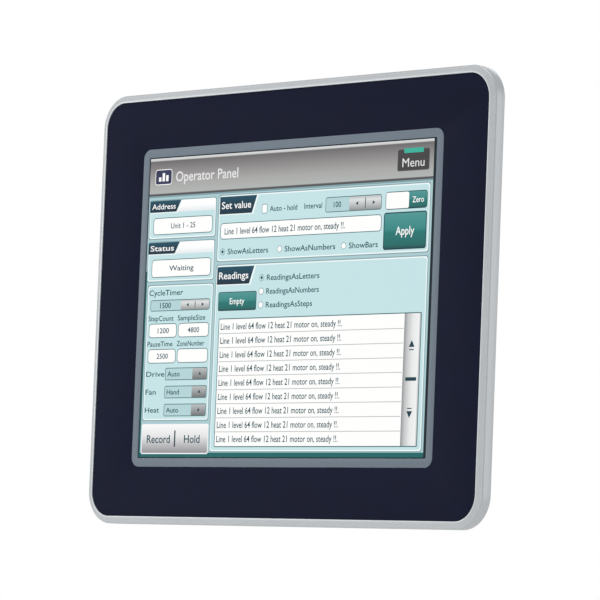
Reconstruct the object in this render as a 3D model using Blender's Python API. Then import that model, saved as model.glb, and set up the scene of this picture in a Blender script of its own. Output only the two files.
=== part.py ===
# HMI touch panel for a cabinet door, built as the pieces it comes apart into on a bench.
# Metres, +Z up. The screen faces -Y, and +X is to the right of someone who faces it.
# Depths are counted from the bezel's front lip towards the back, and depth() turns them into Y.
# The origin is the centre of the whole panel's box.
import math

import bmesh
import bpy
from mathutils import Matrix, Vector

MM = 0.001

# Clearances
GAP = 0.3 * MM  # between pieces that rest on each other
EDGE_GAP = 0.15 * MM  # round the thin sheets of the front
HOLE_GAP = 0.4 * MM  # round a screw's shank, or a socket in its cut-out
PAST = 1.0 * MM  # how far a cutter or a sunk root reaches past the surface

# Front, from the picture outwards
PICTURE_WIDTH = 211.2 * MM  # active area of a 10.4 inch 4:3 display
PICTURE_HEIGHT = 158.4 * MM
PICTURE_CORNER = 0.4 * MM
PICTURE_MARGIN = 0.6 * MM  # dark line between picture and border
BORDER_WIDTH = 4.5 * MM
BORDER_CORNER = 5.1 * MM
NAVY_SIDE = 30.3 * MM  # navy sheet beside the grey border
NAVY_TOP = 26.2 * MM  # and above and below it
OVERLAY_CORNER = 13.4 * MM
BEZEL_RIM = 4.0 * MM  # bezel outside the overlay, all round
BEZEL_DEPTH = 7.5 * MM
LIP_HEIGHT = 0.5 * MM  # lip above the overlay's face
OVERLAY_THICK = 0.8 * MM
FILM_THICK = 0.6 * MM
GLASS_THICK = 1.8 * MM
GLASS_SEAT = 0.5 * MM  # glass to bezel, each side
TOUCH_SEAL_THICK = 1.3 * MM
BOSS_RADIUS = 3.5 * MM
LIP_CHAMFER = 0.3 * MM
RIM_SLOPE = ((0.35, 0.15 * MM), (0.7, 0.8 * MM), (0.9, 1.7 * MM))  # share of the rim, depth
RIM_DEPTH = 3.0 * MM  # where the slope has turned into the side wall
BACK_CHAMFER = 0.6 * MM

# Seal against the cabinet
SEAL_INSET = 5.5 * MM  # from the bezel's edge
SEAL_WIDTH = 7.0 * MM
SEAL_THICK = 2.2 * MM
SEAL_GROOVE = 1.2 * MM

# Display module: how far each piece reaches past the picture, beside it and above it
MODULE_REACH = (12.4 * MM, 7.95 * MM)
MODULE_CORNER = 2.5 * MM
OPENING_REACH = (1.4 * MM, 1.3 * MM)
CELL_REACH = (8.4 * MM, 4.8 * MM)
DIFFUSER_REACH = (7.4 * MM, 3.8 * MM)
GUIDE_REACH = (5.4 * MM, 0.8 * MM)
FILM_CORNER = 0.5 * MM
SHEET_STEEL = 0.7 * MM
MODULE_SEAT = 1.2 * MM  # module to the bezel's rear pocket, each side
CELL_THICK = 1.2 * MM
DIFFUSER_THICK = 0.4 * MM
GUIDE_THICK = 2.0 * MM
LAMP_HEIGHT = 2.3 * MM
BRACKET_INSET = 12.0 * MM  # bracket's ends from the module's
BRACKET_FOOT = 6.3 * MM
BRACKET_LAP = 6.0 * MM  # how far a bracket reaches over the module
BRACKET_THICK = 1.0 * MM

# Touch lead, which runs round the module's lower edge to the board
TAIL_X = 40.0 * MM
TAIL_WIDTH = 12.0 * MM
TAIL_THICK = 0.25 * MM
TAIL_NOTCH = 1.0 * MM  # notch in the bezel beside the lead
TAIL_WINDOW = 4.0 * MM  # window in the plate beside the lead
TAIL_BACK = 2.6 * MM  # lead behind the module
TAIL_BEND = 1.5 * MM
TAIL_CLEAR = 0.5 * MM  # lead's end in front of the board
TAIL_END = 11.0 * MM  # straight end

# Rear. The tub passes through the cabinet's cut-out, and the case behind it holds the electronics.
TUB_GAP = (4.5 * MM, 3.0 * MM)  # from the seal's inner edge, beside and above
TUB_CORNER = 8.0 * MM
TUB_DEPTH = 14.2 * MM
CASE = (196.0 * MM, 150.0 * MM, 6.0 * MM)  # width, height, corner radius
CASE_DEPTH = 22.0 * MM
WALL = 1.2 * MM
CASE_TAB = 8.0 * MM
COVER_THICK = 1.2 * MM
VENT = (3.0 * MM, 26.0 * MM)
VENT_PITCH = 7.0 * MM
VENT_COUNT = 12
WALL_VENT_MARGIN = 5.0 * MM  # from the case's front and back
TUB_CHAMFER = 1.0 * MM
TAB_THICK = 2.0 * MM
IO_LIP = 1.5 * MM  # case wall behind the socket plate's ends
STUD = (2.0 * MM, 4.5 * MM, 3.6 * MM)  # shank, washer and nut radius
STUD_STEPS = (1.3 * MM, 4.5 * MM, 11.5 * MM, 12.0 * MM)  # washer, nut, thread and tip from the tub
STUD_TIP = 1.5 * MM
STUD_BELOW = 5.0 * MM  # below the case

# Screws: shank radius, head radius, head height, shank length
CASE_SCREW = (1.5 * MM, 2.6 * MM, 1.5 * MM, 6.0 * MM)
SCREW_SOCKET = 1.0 * MM

# Cabinet clamps
CLAMP_SPACING = 208.0 * MM
CLAMP_SIZE = (14.0 * MM, 10.0 * MM, 11.7 * MM)
CLAMP_TONGUE = (10.0 * MM, 3.0 * MM)  # width, thickness
CLAMP_LIP = 1.6 * MM
CLAMP_SLOT = 6.2 * MM
CLAMP_SCREW = (2.0 * MM, 3.6 * MM, 4.0 * MM, 17.5 * MM)
CLAMP_STANDOFF = 5.2 * MM  # from the seal's face to the tongue, before a screw is turned in
CABINET_MOST = 6.0 * MM  # thickest cabinet sheet that the clamps take
CLAMP_BODY_BACK = 1.1 * MM  # body's front behind the tongue's
CLAMP_TONGUE_AHEAD = 1.9 * MM  # tongue behind the standoff
CLAMP_DROP = 2.1 * MM  # hooked lip's height
CLAMP_HEAD_GAP = 0.7 * MM
SLOT_BACK = 2.2 * MM

# Electronics
PLATE_GAP = 2.3 * MM  # mounting plate to the tub's wall, each side
PLATE_INSET = 3.3 * MM  # top and bottom, clear of the clamps' lips
STANDOFF = 4.2 * MM
BOARD_GAP = 7.8 * MM  # to the case's walls
BOARD_CORNER = 2.0 * MM
BOARD_THICK = 1.6 * MM
BOARD_HOLE_INSET = (5.0 * MM, 6.0 * MM)
BOARD_HOLE_RAISED = 18.0 * MM  # the lower holes, above the board's lower edge
CHIP = 27.0 * MM
CHIP_THICK = 2.2 * MM
SINK = (40.0 * MM, 10.0 * MM)  # side, height
SINK_FINS = 7
CELL_RADIUS = 10.0 * MM
CELL_HEIGHT = 3.2 * MM
BUZZER = (6.0 * MM, 7.5 * MM)  # radius, height
CHIP_PLACE = (-20.0 * MM, 14.0 * MM)  # x, z of the part's middle
CELL_PLACE = (52.0 * MM, 34.0 * MM)
BUZZER_PLACE = (56.0 * MM, -8.0 * MM)
DRIVER_X = (-80.0 * MM, -50.0 * MM)
DRIVER_Z = (-30.0 * MM, 50.0 * MM)
DRIVER_THICK = 1.4 * MM
COIL_X = (-74.0 * MM, -56.0 * MM)
COIL_Z = (0.0, 22.0 * MM)
COIL_HEIGHT = 8.5 * MM
STANDOFF_RADIUS = 2.5 * MM
STANDOFF_PIN = 1.2 * MM
PIN_PROUD = 1.6 * MM  # standoff's riveted tip behind the board
HOLDER_WALL = 1.5 * MM
HOLDER_FLOOR = 1.2 * MM
HOLDER_RIM = 2.4 * MM
CELL_CHAMFER = 0.8 * MM
SOUND_HOLE = (1.0 * MM, 2.0 * MM)  # radius, depth
FIN_SHARE = 0.45  # of the fins' spacing that is metal
SINK_BASE = 0.3  # of the heatsink's height

# Sockets along the lower edge: name, width, height along the depth
PORTS = (
    ("power_header", 18.0 * MM, 11.0 * MM),
    ("network_port", 16.0 * MM, 13.5 * MM),
    ("usb_port", 32.0 * MM, 7.2 * MM),
    ("serial_port_1", 31.0 * MM, 12.5 * MM),
    ("serial_port_2", 31.0 * MM, 12.5 * MM),
    ("card_slot", 26.0 * MM, 3.6 * MM),
)
PORT_SPACE = 4.0 * MM
PORT_LENGTH = 21.0 * MM
PORT_PROUD = 0.5 * MM
IO_MARGIN = 3.0 * MM
HOLLOW_LENGTH = 12.0 * MM
NETWORK_HOLLOW = (11.8 * MM, (2.5 * MM, 10.5 * MM))  # width, depths from the socket's front
USB_HOLLOW = (12.6 * MM, (0.9 * MM, 6.3 * MM))
CARD_HOLLOW = (0.7 * MM, (0.7 * MM, 2.9 * MM), 18.0 * MM)  # wall, depths, length
POWER_HOLLOW = (1.0 * MM, (1.3 * MM, 9.7 * MM), 10.0 * MM)
SHELL = (17.0 * MM, 8.4 * MM, 5.5 * MM)  # serial connector's shell: width, depth, reach
JACK = (1.9 * MM, 12.5 * MM, 3.0 * MM)  # jack post: radius, half spacing, reach
PORT_ROOT = 2.0 * MM
PLUG_NOSE = 9.2 * MM
PLUG_GRIP = (13.0 * MM, 14.0 * MM)  # depth, length
PLUG_POLES = 5.08 * MM  # pole spacing
PLUG_ENTRY = (3.2 * MM, 4.5 * MM, 1.3 * MM, 8.0 * MM)  # width, front, back, length
PLUG_WELL = (1.7 * MM, 2.5 * MM, 8.0 * MM)  # radius, depth, distance below the mouth
DOOR_THICK = 1.5 * MM
DOOR_BARREL = 1.6 * MM
DOOR_PIN = 0.8 * MM
DOOR_WING = 2.0 * MM  # door beside the slot, each side
DOOR_FLAP = 10.6 * MM
DOOR_LUG = 2.0 * MM
DOOR_PIN_REACH = 3.0 * MM
DOOR_AHEAD = 1.7 * MM  # hinge axis in front of the sockets
DOOR_BELOW = 0.5 * MM  # barrel below the plate

# Service switches in the right side wall
LEVER = 1.4 * MM
LEVER_TRAVEL = 2.0 * MM
LEVER_PITCH = 2.6 * MM
BUTTON_RADIUS = 1.6 * MM
BUTTON_TRAVEL = 0.6 * MM
BUTTON_SINK = 4.0 * MM  # length inside its switch
BUTTON_PROUD = 1.3 * MM
SWITCH_Z = 14.0 * MM
BUTTON_Z = -12.0 * MM
SWITCH_DEPTH = 8.0 * MM
SWITCH_RECESS = 0.4 * MM  # switch face behind the wall
DIP_SIZE = (10.0 * MM, 12.0 * MM)  # reach inwards, height
RESET_SIZE = (6.0 * MM, 8.0 * MM)
RESET_RECESS = 2.0 * MM
WINDOW_HALF = (2.8 * MM, 4.0 * MM)  # wall's window over the levers
LEVER_SINK = 1.3 * MM
LEVER_PROUD = 1.0 * MM

LEAST_CORNER = 0.1 * MM
CORNER_STEPS = 5
ROUND_STEPS = 12

# Depths of the stack, each from the one in front of it
OVERLAY_FRONT = LIP_HEIGHT
OVERLAY_BACK = OVERLAY_FRONT + OVERLAY_THICK
GLASS_FRONT = OVERLAY_BACK + GAP
GLASS_BACK = GLASS_FRONT + GLASS_THICK
TOUCH_SEAL_FRONT = GLASS_BACK + GAP
MODULE_FRONT = TOUCH_SEAL_FRONT + TOUCH_SEAL_THICK + GAP
CELL_FRONT = MODULE_FRONT + SHEET_STEEL + GAP
TRAY_FRONT = CELL_FRONT + CELL_THICK + GAP
GUIDE_FRONT = TRAY_FRONT + DIFFUSER_THICK + GAP
TRAY_FLOOR = GUIDE_FRONT + GUIDE_THICK + GAP
MODULE_BACK = TRAY_FLOOR + SHEET_STEEL
SEAL_FRONT = BEZEL_DEPTH - SEAL_GROOVE + GAP
SEAL_BACK = SEAL_FRONT + SEAL_THICK
TUB_FRONT = BEZEL_DEPTH + GAP
TUB_BACK = TUB_FRONT + TUB_DEPTH
PLATE_BACK = TUB_BACK - WALL - GAP
PLATE_FRONT = PLATE_BACK - WALL
BOARD_FRONT = PLATE_BACK + STANDOFF + GAP
BOARD_BACK = BOARD_FRONT + BOARD_THICK
PARTS_FRONT = BOARD_BACK + GAP
CASE_BACK = TUB_BACK + CASE_DEPTH
COVER_FRONT = CASE_BACK + GAP
COVER_BACK = COVER_FRONT + COVER_THICK
OVERALL_DEPTH = COVER_BACK + GAP + CASE_SCREW[2]


def depth(value):
    return value - OVERALL_DEPTH / 2


def grown(size, by):
    """The same outline, moved outwards by a distance. A corner stays at least slightly round."""
    return (size[0] + 2 * by, size[1] + 2 * by, max(size[2] + by, LEAST_CORNER))


def around(size, reach, corner):
    """An outline that reaches past another by its own distance beside it and above it."""
    return (size[0] + 2 * reach[0], size[1] + 2 * reach[1], corner)


PICTURE = (PICTURE_WIDTH, PICTURE_HEIGHT, PICTURE_CORNER)
BORDER_OPENING = grown(PICTURE, PICTURE_MARGIN)
WINDOW = around(BORDER_OPENING, (BORDER_WIDTH, BORDER_WIDTH), BORDER_CORNER)
OVERLAY = around(WINDOW, (NAVY_SIDE, NAVY_TOP), OVERLAY_CORNER)
POCKET = grown(OVERLAY, EDGE_GAP)
BEZEL = grown(OVERLAY, BEZEL_RIM)
SEAL = grown(BEZEL, -SEAL_INSET)
TUB = around(grown(SEAL, -SEAL_WIDTH), (-TUB_GAP[0], -TUB_GAP[1]), TUB_CORNER)
MODULE = around(PICTURE, MODULE_REACH, MODULE_CORNER)
MODULE_OPENING = around(PICTURE, OPENING_REACH, FILM_CORNER)
CELL = around(PICTURE, CELL_REACH, FILM_CORNER)
DIFFUSER = around(PICTURE, DIFFUSER_REACH, FILM_CORNER)
GUIDE = around(PICTURE, GUIDE_REACH, FILM_CORNER)
BOARD = around(CASE, (-WALL - BOARD_GAP, -WALL - BOARD_GAP), BOARD_CORNER)
GLASS = grown(WINDOW, -GLASS_SEAT)
GLASS_OPENING = grown(WINDOW, GLASS_SEAT - GAP)
MODULE_POCKET = grown(MODULE, MODULE_SEAT)
TRAY = grown(MODULE, -SHEET_STEEL - GAP)
PLATE = (
    TUB[0] - 2 * WALL - 2 * PLATE_GAP,
    TUB[1] - 2 * WALL - 2 * PLATE_INSET,
    TUB[2] - WALL,
)
TOWER_X = PLATE[0] / 2 - 4.5 * MM  # posts that carry plate and housing
TOWER_Z = PLATE[1] / 2 - 3.0 * MM
TAB_X = CASE[0] / 2 - WALL - CASE_TAB / 2
TAB_Z = CASE[1] / 2 - WALL - CASE_TAB / 2
CASE_BOTTOM = -CASE[1] / 2
IO_TOP = CASE_BOTTOM - GAP
IO_BOTTOM = IO_TOP - WALL


def clear_scene():
    for item in list(bpy.data.objects):
        bpy.data.objects.remove(item, do_unlink=True)


def linear(channel):
    return channel / 12.92 if channel <= 0.04045 else ((channel + 0.055) / 1.055) ** 2.4


def material(name, colour, roughness, metallic=0.0, clear=1.0):
    made = bpy.data.materials.new(name)
    made.use_nodes = True
    shader = made.node_tree.nodes["Principled BSDF"]
    rgb = [linear(int(colour[i : i + 2], 16) / 255) for i in (0, 2, 4)]
    shader.inputs["Base Color"].default_value = (*rgb, 1.0)
    shader.inputs["Roughness"].default_value = roughness
    shader.inputs["Metallic"].default_value = metallic
    shader.inputs["Alpha"].default_value = clear
    return made


def finish(name, shape, look, origin=(0.0, 0.0, 0.0), smooth=False):
    """Turn a bmesh in world coordinates into an object whose origin is at the point given."""
    bmesh.ops.recalc_face_normals(shape, faces=shape.faces)
    bmesh.ops.translate(shape, verts=shape.verts, vec=-Vector(origin))
    mesh = bpy.data.meshes.new(name)
    shape.to_mesh(mesh)
    shape.free()
    made = bpy.data.objects.new(name, mesh)
    made.location = origin
    made.data.materials.append(look)
    bpy.context.scene.collection.objects.link(made)
    if smooth:
        mesh.shade_smooth()
        mesh.set_sharp_from_angle(angle=math.radians(35))
    return made


def outline(size, back, centre=(0.0, 0.0)):
    """Points of a rounded rectangle at one depth, anticlockwise from its right side."""
    width, height, radius = size
    points = []
    for quarter, (side_x, side_z) in enumerate(((1, 1), (-1, 1), (-1, -1), (1, -1))):
        corner_x = centre[0] + side_x * (width / 2 - radius)
        corner_z = centre[1] + side_z * (height / 2 - radius)
        for step in range(CORNER_STEPS + 1):
            angle = (quarter + step / CORNER_STEPS) * math.pi / 2
            points.append(
                Vector(
                    (
                        corner_x + radius * math.cos(angle),
                        depth(back),
                        corner_z + radius * math.sin(angle),
                    )
                )
            )
    return points


def loft(name, stations, look, ring, smooth=True):
    """Skin a row of outlines. A ring joins the last to the first, and a cup is capped at both."""
    shape = bmesh.new()
    loops = [[shape.verts.new(point) for point in outline(*station)] for station in stations]
    pairs = list(zip(loops, loops[1:]))
    if ring:
        pairs.append((loops[-1], loops[0]))
    else:
        shape.faces.new(loops[0])
        shape.faces.new(loops[-1])
    for first, second in pairs:
        for i in range(len(first)):
            j = (i + 1) % len(first)
            shape.faces.new((first[i], first[j], second[j], second[i]))
    return finish(name, shape, look, smooth=smooth)


def frame(name, outer, inner, front, back, look):
    """A flat ring between two outlines."""
    stations = ((outer, front), (outer, back), (inner, back), (inner, front))
    return loft(name, stations, look, ring=True)


def sheet(name, size, front, back, look, centre=(0.0, 0.0)):
    return loft(name, ((size, front, centre), (size, back, centre)), look, ring=False)


def block(name, x, back, z, look, bevel=0.0, origin=None):
    """A box between two values on each axis, its middle range given as depths."""
    low = Vector((x[0], depth(back[0]), z[0]))
    high = Vector((x[1], depth(back[1]), z[1]))
    middle = (low + high) / 2
    shape = bmesh.new()
    bmesh.ops.create_cube(shape, size=1.0)
    bmesh.ops.scale(shape, verts=shape.verts, vec=high - low)
    bmesh.ops.translate(shape, verts=shape.verts, vec=middle)
    made = finish(name, shape, look, origin or middle)
    if bevel:
        edge = made.modifiers.new("edges", "BEVEL")
        edge.width = bevel
        edge.segments = 1
    return made


def prism(name, profile, axis, start, end, look, origin=(0.0, 0.0, 0.0)):
    """A polygon extruded along X (points are depth, z) or along Z (points are x, depth)."""
    shape = bmesh.new()
    if axis == "X":
        points = [Vector((start, depth(a), b)) for a, b in profile]
        along = Vector((end - start, 0, 0))
    else:
        points = [Vector((a, depth(b), start)) for a, b in profile]
        along = Vector((0, 0, end - start))
    face = shape.faces.new([shape.verts.new(point) for point in points])
    made = bmesh.ops.extrude_face_region(shape, geom=[face])
    moved = [item for item in made["geom"] if isinstance(item, bmesh.types.BMVert)]
    bmesh.ops.translate(shape, verts=moved, vec=along)
    return finish(name, shape, look, origin)


def turned(name, profile, centre, axis, look, steps=ROUND_STEPS, origin=None):
    """Spin a profile of (radius, distance along the axis) round an axis through centre."""
    shape = bmesh.new()
    points = [shape.verts.new((radius, 0, along)) for radius, along in profile]
    edges = [shape.edges.new(pair) for pair in zip(points, points[1:])]
    bmesh.ops.spin(
        shape,
        geom=points + edges,
        cent=(0, 0, 0),
        axis=(0, 0, 1),
        angle=math.tau,
        steps=steps,
    )
    bmesh.ops.remove_doubles(shape, verts=shape.verts, dist=1e-6)
    turn = Vector((0, 0, 1)).rotation_difference(Vector(axis)).to_matrix().to_4x4()
    bmesh.ops.transform(shape, matrix=Matrix.Translation(centre) @ turn, verts=shape.verts)
    return finish(name, shape, look, origin or centre, smooth=True)


def bar(name, radius, start, end, centre, axis, look):
    profile = ((0, start), (radius, start), (radius, end), (0, end))
    return turned(name, profile, centre, axis, look)


def helper(made):
    made.hide_render = True
    made.display_type = "WIRE"
    return made


def combine(made, other, operation="DIFFERENCE"):
    helper(other)
    step = made.modifiers.new(other.name, "BOOLEAN")
    step.operation = operation
    step.solver = "EXACT"
    step.object = other
    return made


def screw(name, spec, centre, axis, look, origin=None):
    """A screw whose head's underside is at centre and whose shank points along axis."""
    shank, head, height, length = spec
    socket = min(SCREW_SOCKET, height * 0.6)
    profile = (
        (0, length),
        (shank, length),
        (shank, 0),
        (head, 0),
        (head * 0.88, -height),
        (shank * 0.8, -height),
        (shank * 0.8, -height + socket),
        (0, -height + socket),
    )
    return turned(name, profile, centre, axis, look, origin=origin)


def corners(x, z):
    """Four places, numbered from top left to bottom right."""
    return enumerate(((-x, z), (x, z), (-x, -z), (x, -z)), 1)


def build_front(looks):
    rim = BEZEL_RIM - EDGE_GAP
    stations = [
        (POCKET, GLASS_FRONT),
        (POCKET, LIP_CHAMFER),
        (grown(POCKET, LIP_CHAMFER), 0.0),
        *((grown(POCKET, rim * share), back) for share, back in RIM_SLOPE),
        (BEZEL, RIM_DEPTH),
        (BEZEL, BEZEL_DEPTH - BACK_CHAMFER),
        (grown(BEZEL, -BACK_CHAMFER), BEZEL_DEPTH),
        (grown(SEAL, GAP), BEZEL_DEPTH),
        (grown(SEAL, GAP), BEZEL_DEPTH - SEAL_GROOVE),
        (grown(SEAL, -SEAL_WIDTH - GAP), BEZEL_DEPTH - SEAL_GROOVE),
        (grown(SEAL, -SEAL_WIDTH - GAP), BEZEL_DEPTH),
        (MODULE_POCKET, BEZEL_DEPTH),
        (MODULE_POCKET, MODULE_FRONT - GAP),
        (GLASS_OPENING, MODULE_FRONT - GAP),
        (GLASS_OPENING, GLASS_FRONT),
    ]
    bezel = loft("front_bezel", stations, looks["frame"], ring=True)
    for number, (x, z) in corners(TOWER_X, TOWER_Z):
        post = bar(
            f"post_{number}",
            BOSS_RADIUS,
            BEZEL_DEPTH - PAST,
            PLATE_FRONT - GAP,
            (x, depth(0), z),
            (0, 1, 0),
            looks["frame"],
        )
        combine(bezel, post, "UNION")
        bore = bar(
            f"post_bore_{number}",
            CASE_SCREW[0] + HOLE_GAP,
            TUB_BACK - CASE_SCREW[3] - HOLE_GAP,
            TUB_BACK,
            (x, depth(0), z),
            (0, 1, 0),
            looks["frame"],
        )
        combine(bezel, bore)
    for side in (-1, 1):
        bore = bar(
            f"bracket_bore_{side}",
            CASE_SCREW[0] + HOLE_GAP,
            BEZEL_DEPTH + GAP + BRACKET_THICK - CASE_SCREW[3] - HOLE_GAP,
            BEZEL_DEPTH + PAST,
            (side * bracket_screw_x(), depth(0), 0),
            (0, 1, 0),
            looks["frame"],
        )
        combine(bezel, bore)
    notch = block(
        "tail_notch",
        (TAIL_X - TAIL_WIDTH / 2 - TAIL_NOTCH, TAIL_X + TAIL_WIDTH / 2 + TAIL_NOTCH),
        (GLASS_FRONT - PAST, MODULE_FRONT),
        (-MODULE_POCKET[1] / 2, -GLASS_OPENING[1] / 2 + PAST),
        looks["frame"],
    )
    combine(bezel, notch)

    window = grown(WINDOW, EDGE_GAP)
    frame("front_overlay", OVERLAY, window, OVERLAY_FRONT, OVERLAY_BACK, looks["overlay"])
    frame("window_border", WINDOW, BORDER_OPENING, OVERLAY_FRONT, OVERLAY_BACK, looks["border"])
    film = grown(BORDER_OPENING, -EDGE_GAP)
    film_front = OVERLAY_BACK - FILM_THICK
    sheet("touch_film", film, film_front, OVERLAY_BACK, looks["film"])
    sheet("touch_glass", GLASS, GLASS_FRONT, GLASS_BACK, looks["glass"])
    frame(
        "touch_gasket",
        grown(GLASS, -GAP),
        MODULE_OPENING,
        TOUCH_SEAL_FRONT,
        MODULE_FRONT - GAP,
        looks["foam"],
    )
    frame("panel_gasket", SEAL, grown(SEAL, -SEAL_WIDTH), SEAL_FRONT, SEAL_BACK, looks["seal"])


def build_tail(looks):
    """Flat lead from the touch glass, round the display's lower edge, to the board."""
    below = -(MODULE[1] / 2 + MODULE_SEAT / 2)
    case_side = -CASE[1] / 2 + WALL
    end = BOARD_FRONT - TAIL_CLEAR
    behind = MODULE_BACK + TAIL_BACK
    route = (
        (GLASS_FRONT + 1.0 * MM, -GLASS[1] / 2 - 0.45 * MM),
        (MODULE_FRONT - 1.2 * MM, below + 1.6 * MM),
        (MODULE_FRONT + 0.3 * MM, below),
        (MODULE_BACK + TAIL_BEND, below),
        (behind, below + TAIL_BEND),
        (behind, case_side - 5.2 * MM),
        (behind + 1.0 * MM, case_side - 0.4 * MM),
        (PLATE_BACK - 1.3 * MM, case_side + 2.3 * MM),
        (end - 1.6 * MM, case_side + 3.3 * MM),
        (end, case_side + 4.8 * MM),
        (end, case_side + 4.8 * MM + TAIL_END),
    )
    shape = bmesh.new()
    points = [shape.verts.new((TAIL_X - TAIL_WIDTH / 2, depth(a), b)) for a, b in route]
    edges = [shape.edges.new(pair) for pair in zip(points, points[1:])]
    made = bmesh.ops.extrude_edge_only(shape, edges=edges)
    moved = [item for item in made["geom"] if isinstance(item, bmesh.types.BMVert)]
    bmesh.ops.translate(shape, verts=moved, vec=(TAIL_WIDTH, 0, 0))
    tail = finish("touch_tail", shape, looks["flex"])
    wall = tail.modifiers.new("thickness", "SOLIDIFY")
    wall.thickness = TAIL_THICK
    wall.offset = 0.0


def bracket_screw_x():
    return MODULE_POCKET[0] / 2 + GAP + BRACKET_THICK + HOLE_GAP + CASE_SCREW[1]


def build_display(looks):
    inner = grown(MODULE, -SHEET_STEEL)
    stations = (
        (MODULE, MODULE_FRONT),
        (MODULE, TRAY_FLOOR),
        (inner, TRAY_FLOOR),
        (inner, MODULE_FRONT + SHEET_STEEL),
        (MODULE_OPENING, MODULE_FRONT + SHEET_STEEL),
        (MODULE_OPENING, MODULE_FRONT),
    )
    loft("lcd_front_frame", stations, looks["steel"], ring=True)
    sheet("lcd_cell", CELL, CELL_FRONT, CELL_FRONT + CELL_THICK, looks["cell"])
    sheet("diffuser_sheet", DIFFUSER, TRAY_FRONT, TRAY_FRONT + DIFFUSER_THICK, looks["diffuser"])
    sheet("light_guide", GUIDE, GUIDE_FRONT, GUIDE_FRONT + GUIDE_THICK, looks["guide"])
    lamp_top = -GUIDE[1] / 2 - GAP
    block(
        "backlight_bar",
        (-GUIDE[0] / 2, GUIDE[0] / 2),
        (GUIDE_FRONT, GUIDE_FRONT + GUIDE_THICK),
        (lamp_top - LAMP_HEIGHT, lamp_top),
        looks["lamp"],
    )
    inner = grown(TRAY, -SHEET_STEEL)
    stations = (
        (inner, TRAY_FLOOR),
        (inner, TRAY_FRONT),
        (TRAY, TRAY_FRONT),
        (TRAY, MODULE_BACK),
    )
    loft("lcd_rear_tray", stations, looks["steel"], ring=False)

    leg = MODULE_POCKET[0] / 2 + GAP
    foot_front = BEZEL_DEPTH + GAP
    lap_front = MODULE_BACK + GAP
    profile = (
        (leg, foot_front),
        (leg + BRACKET_FOOT, foot_front),
        (leg + BRACKET_FOOT, foot_front + BRACKET_THICK),
        (leg + BRACKET_THICK, foot_front + BRACKET_THICK),
        (leg + BRACKET_THICK, lap_front + BRACKET_THICK),
        (leg - BRACKET_LAP, lap_front + BRACKET_THICK),
        (leg - BRACKET_LAP, lap_front),
        (leg, lap_front),
    )
    half = MODULE[1] / 2 - BRACKET_INSET
    for side, word in ((-1, "left"), (1, "right")):
        points = [(side * x, back) for x, back in profile]
        bracket = prism(f"display_bracket_{word}", points, "Z", -half, half, looks["steel"])
        x = side * bracket_screw_x()
        hole = bar(
            f"bracket_hole_{word}",
            CASE_SCREW[0] + HOLE_GAP,
            foot_front - PAST,
            foot_front + BRACKET_THICK + PAST,
            (x, depth(0), 0),
            (0, 1, 0),
            looks["steel"],
        )
        combine(bracket, hole)
        seat = (x, depth(foot_front + BRACKET_THICK + GAP), 0)
        screw(f"bracket_screw_{word}", CASE_SCREW, seat, (0, -1, 0), looks["zinc"])


def port_places():
    """Each socket's name, centre and size along the lower edge."""
    total = sum(width for _, width, _ in PORTS) + PORT_SPACE * (len(PORTS) - 1)
    left = -total / 2
    for name, width, height in PORTS:
        yield name, left + width / 2, width, height
        left += width + PORT_SPACE


def io_size():
    total = sum(width for _, width, _ in PORTS) + PORT_SPACE * (len(PORTS) - 1)
    tallest = max(height for _, _, height in PORTS)
    return total + 2 * IO_MARGIN, PARTS_FRONT + tallest


def clamp_slot():
    """Front and back of the slot that a clamp hooks into."""
    back = SEAL_BACK + CLAMP_STANDOFF + CLAMP_TONGUE[1] + SLOT_BACK
    return back - CLAMP_SLOT, back


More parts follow.
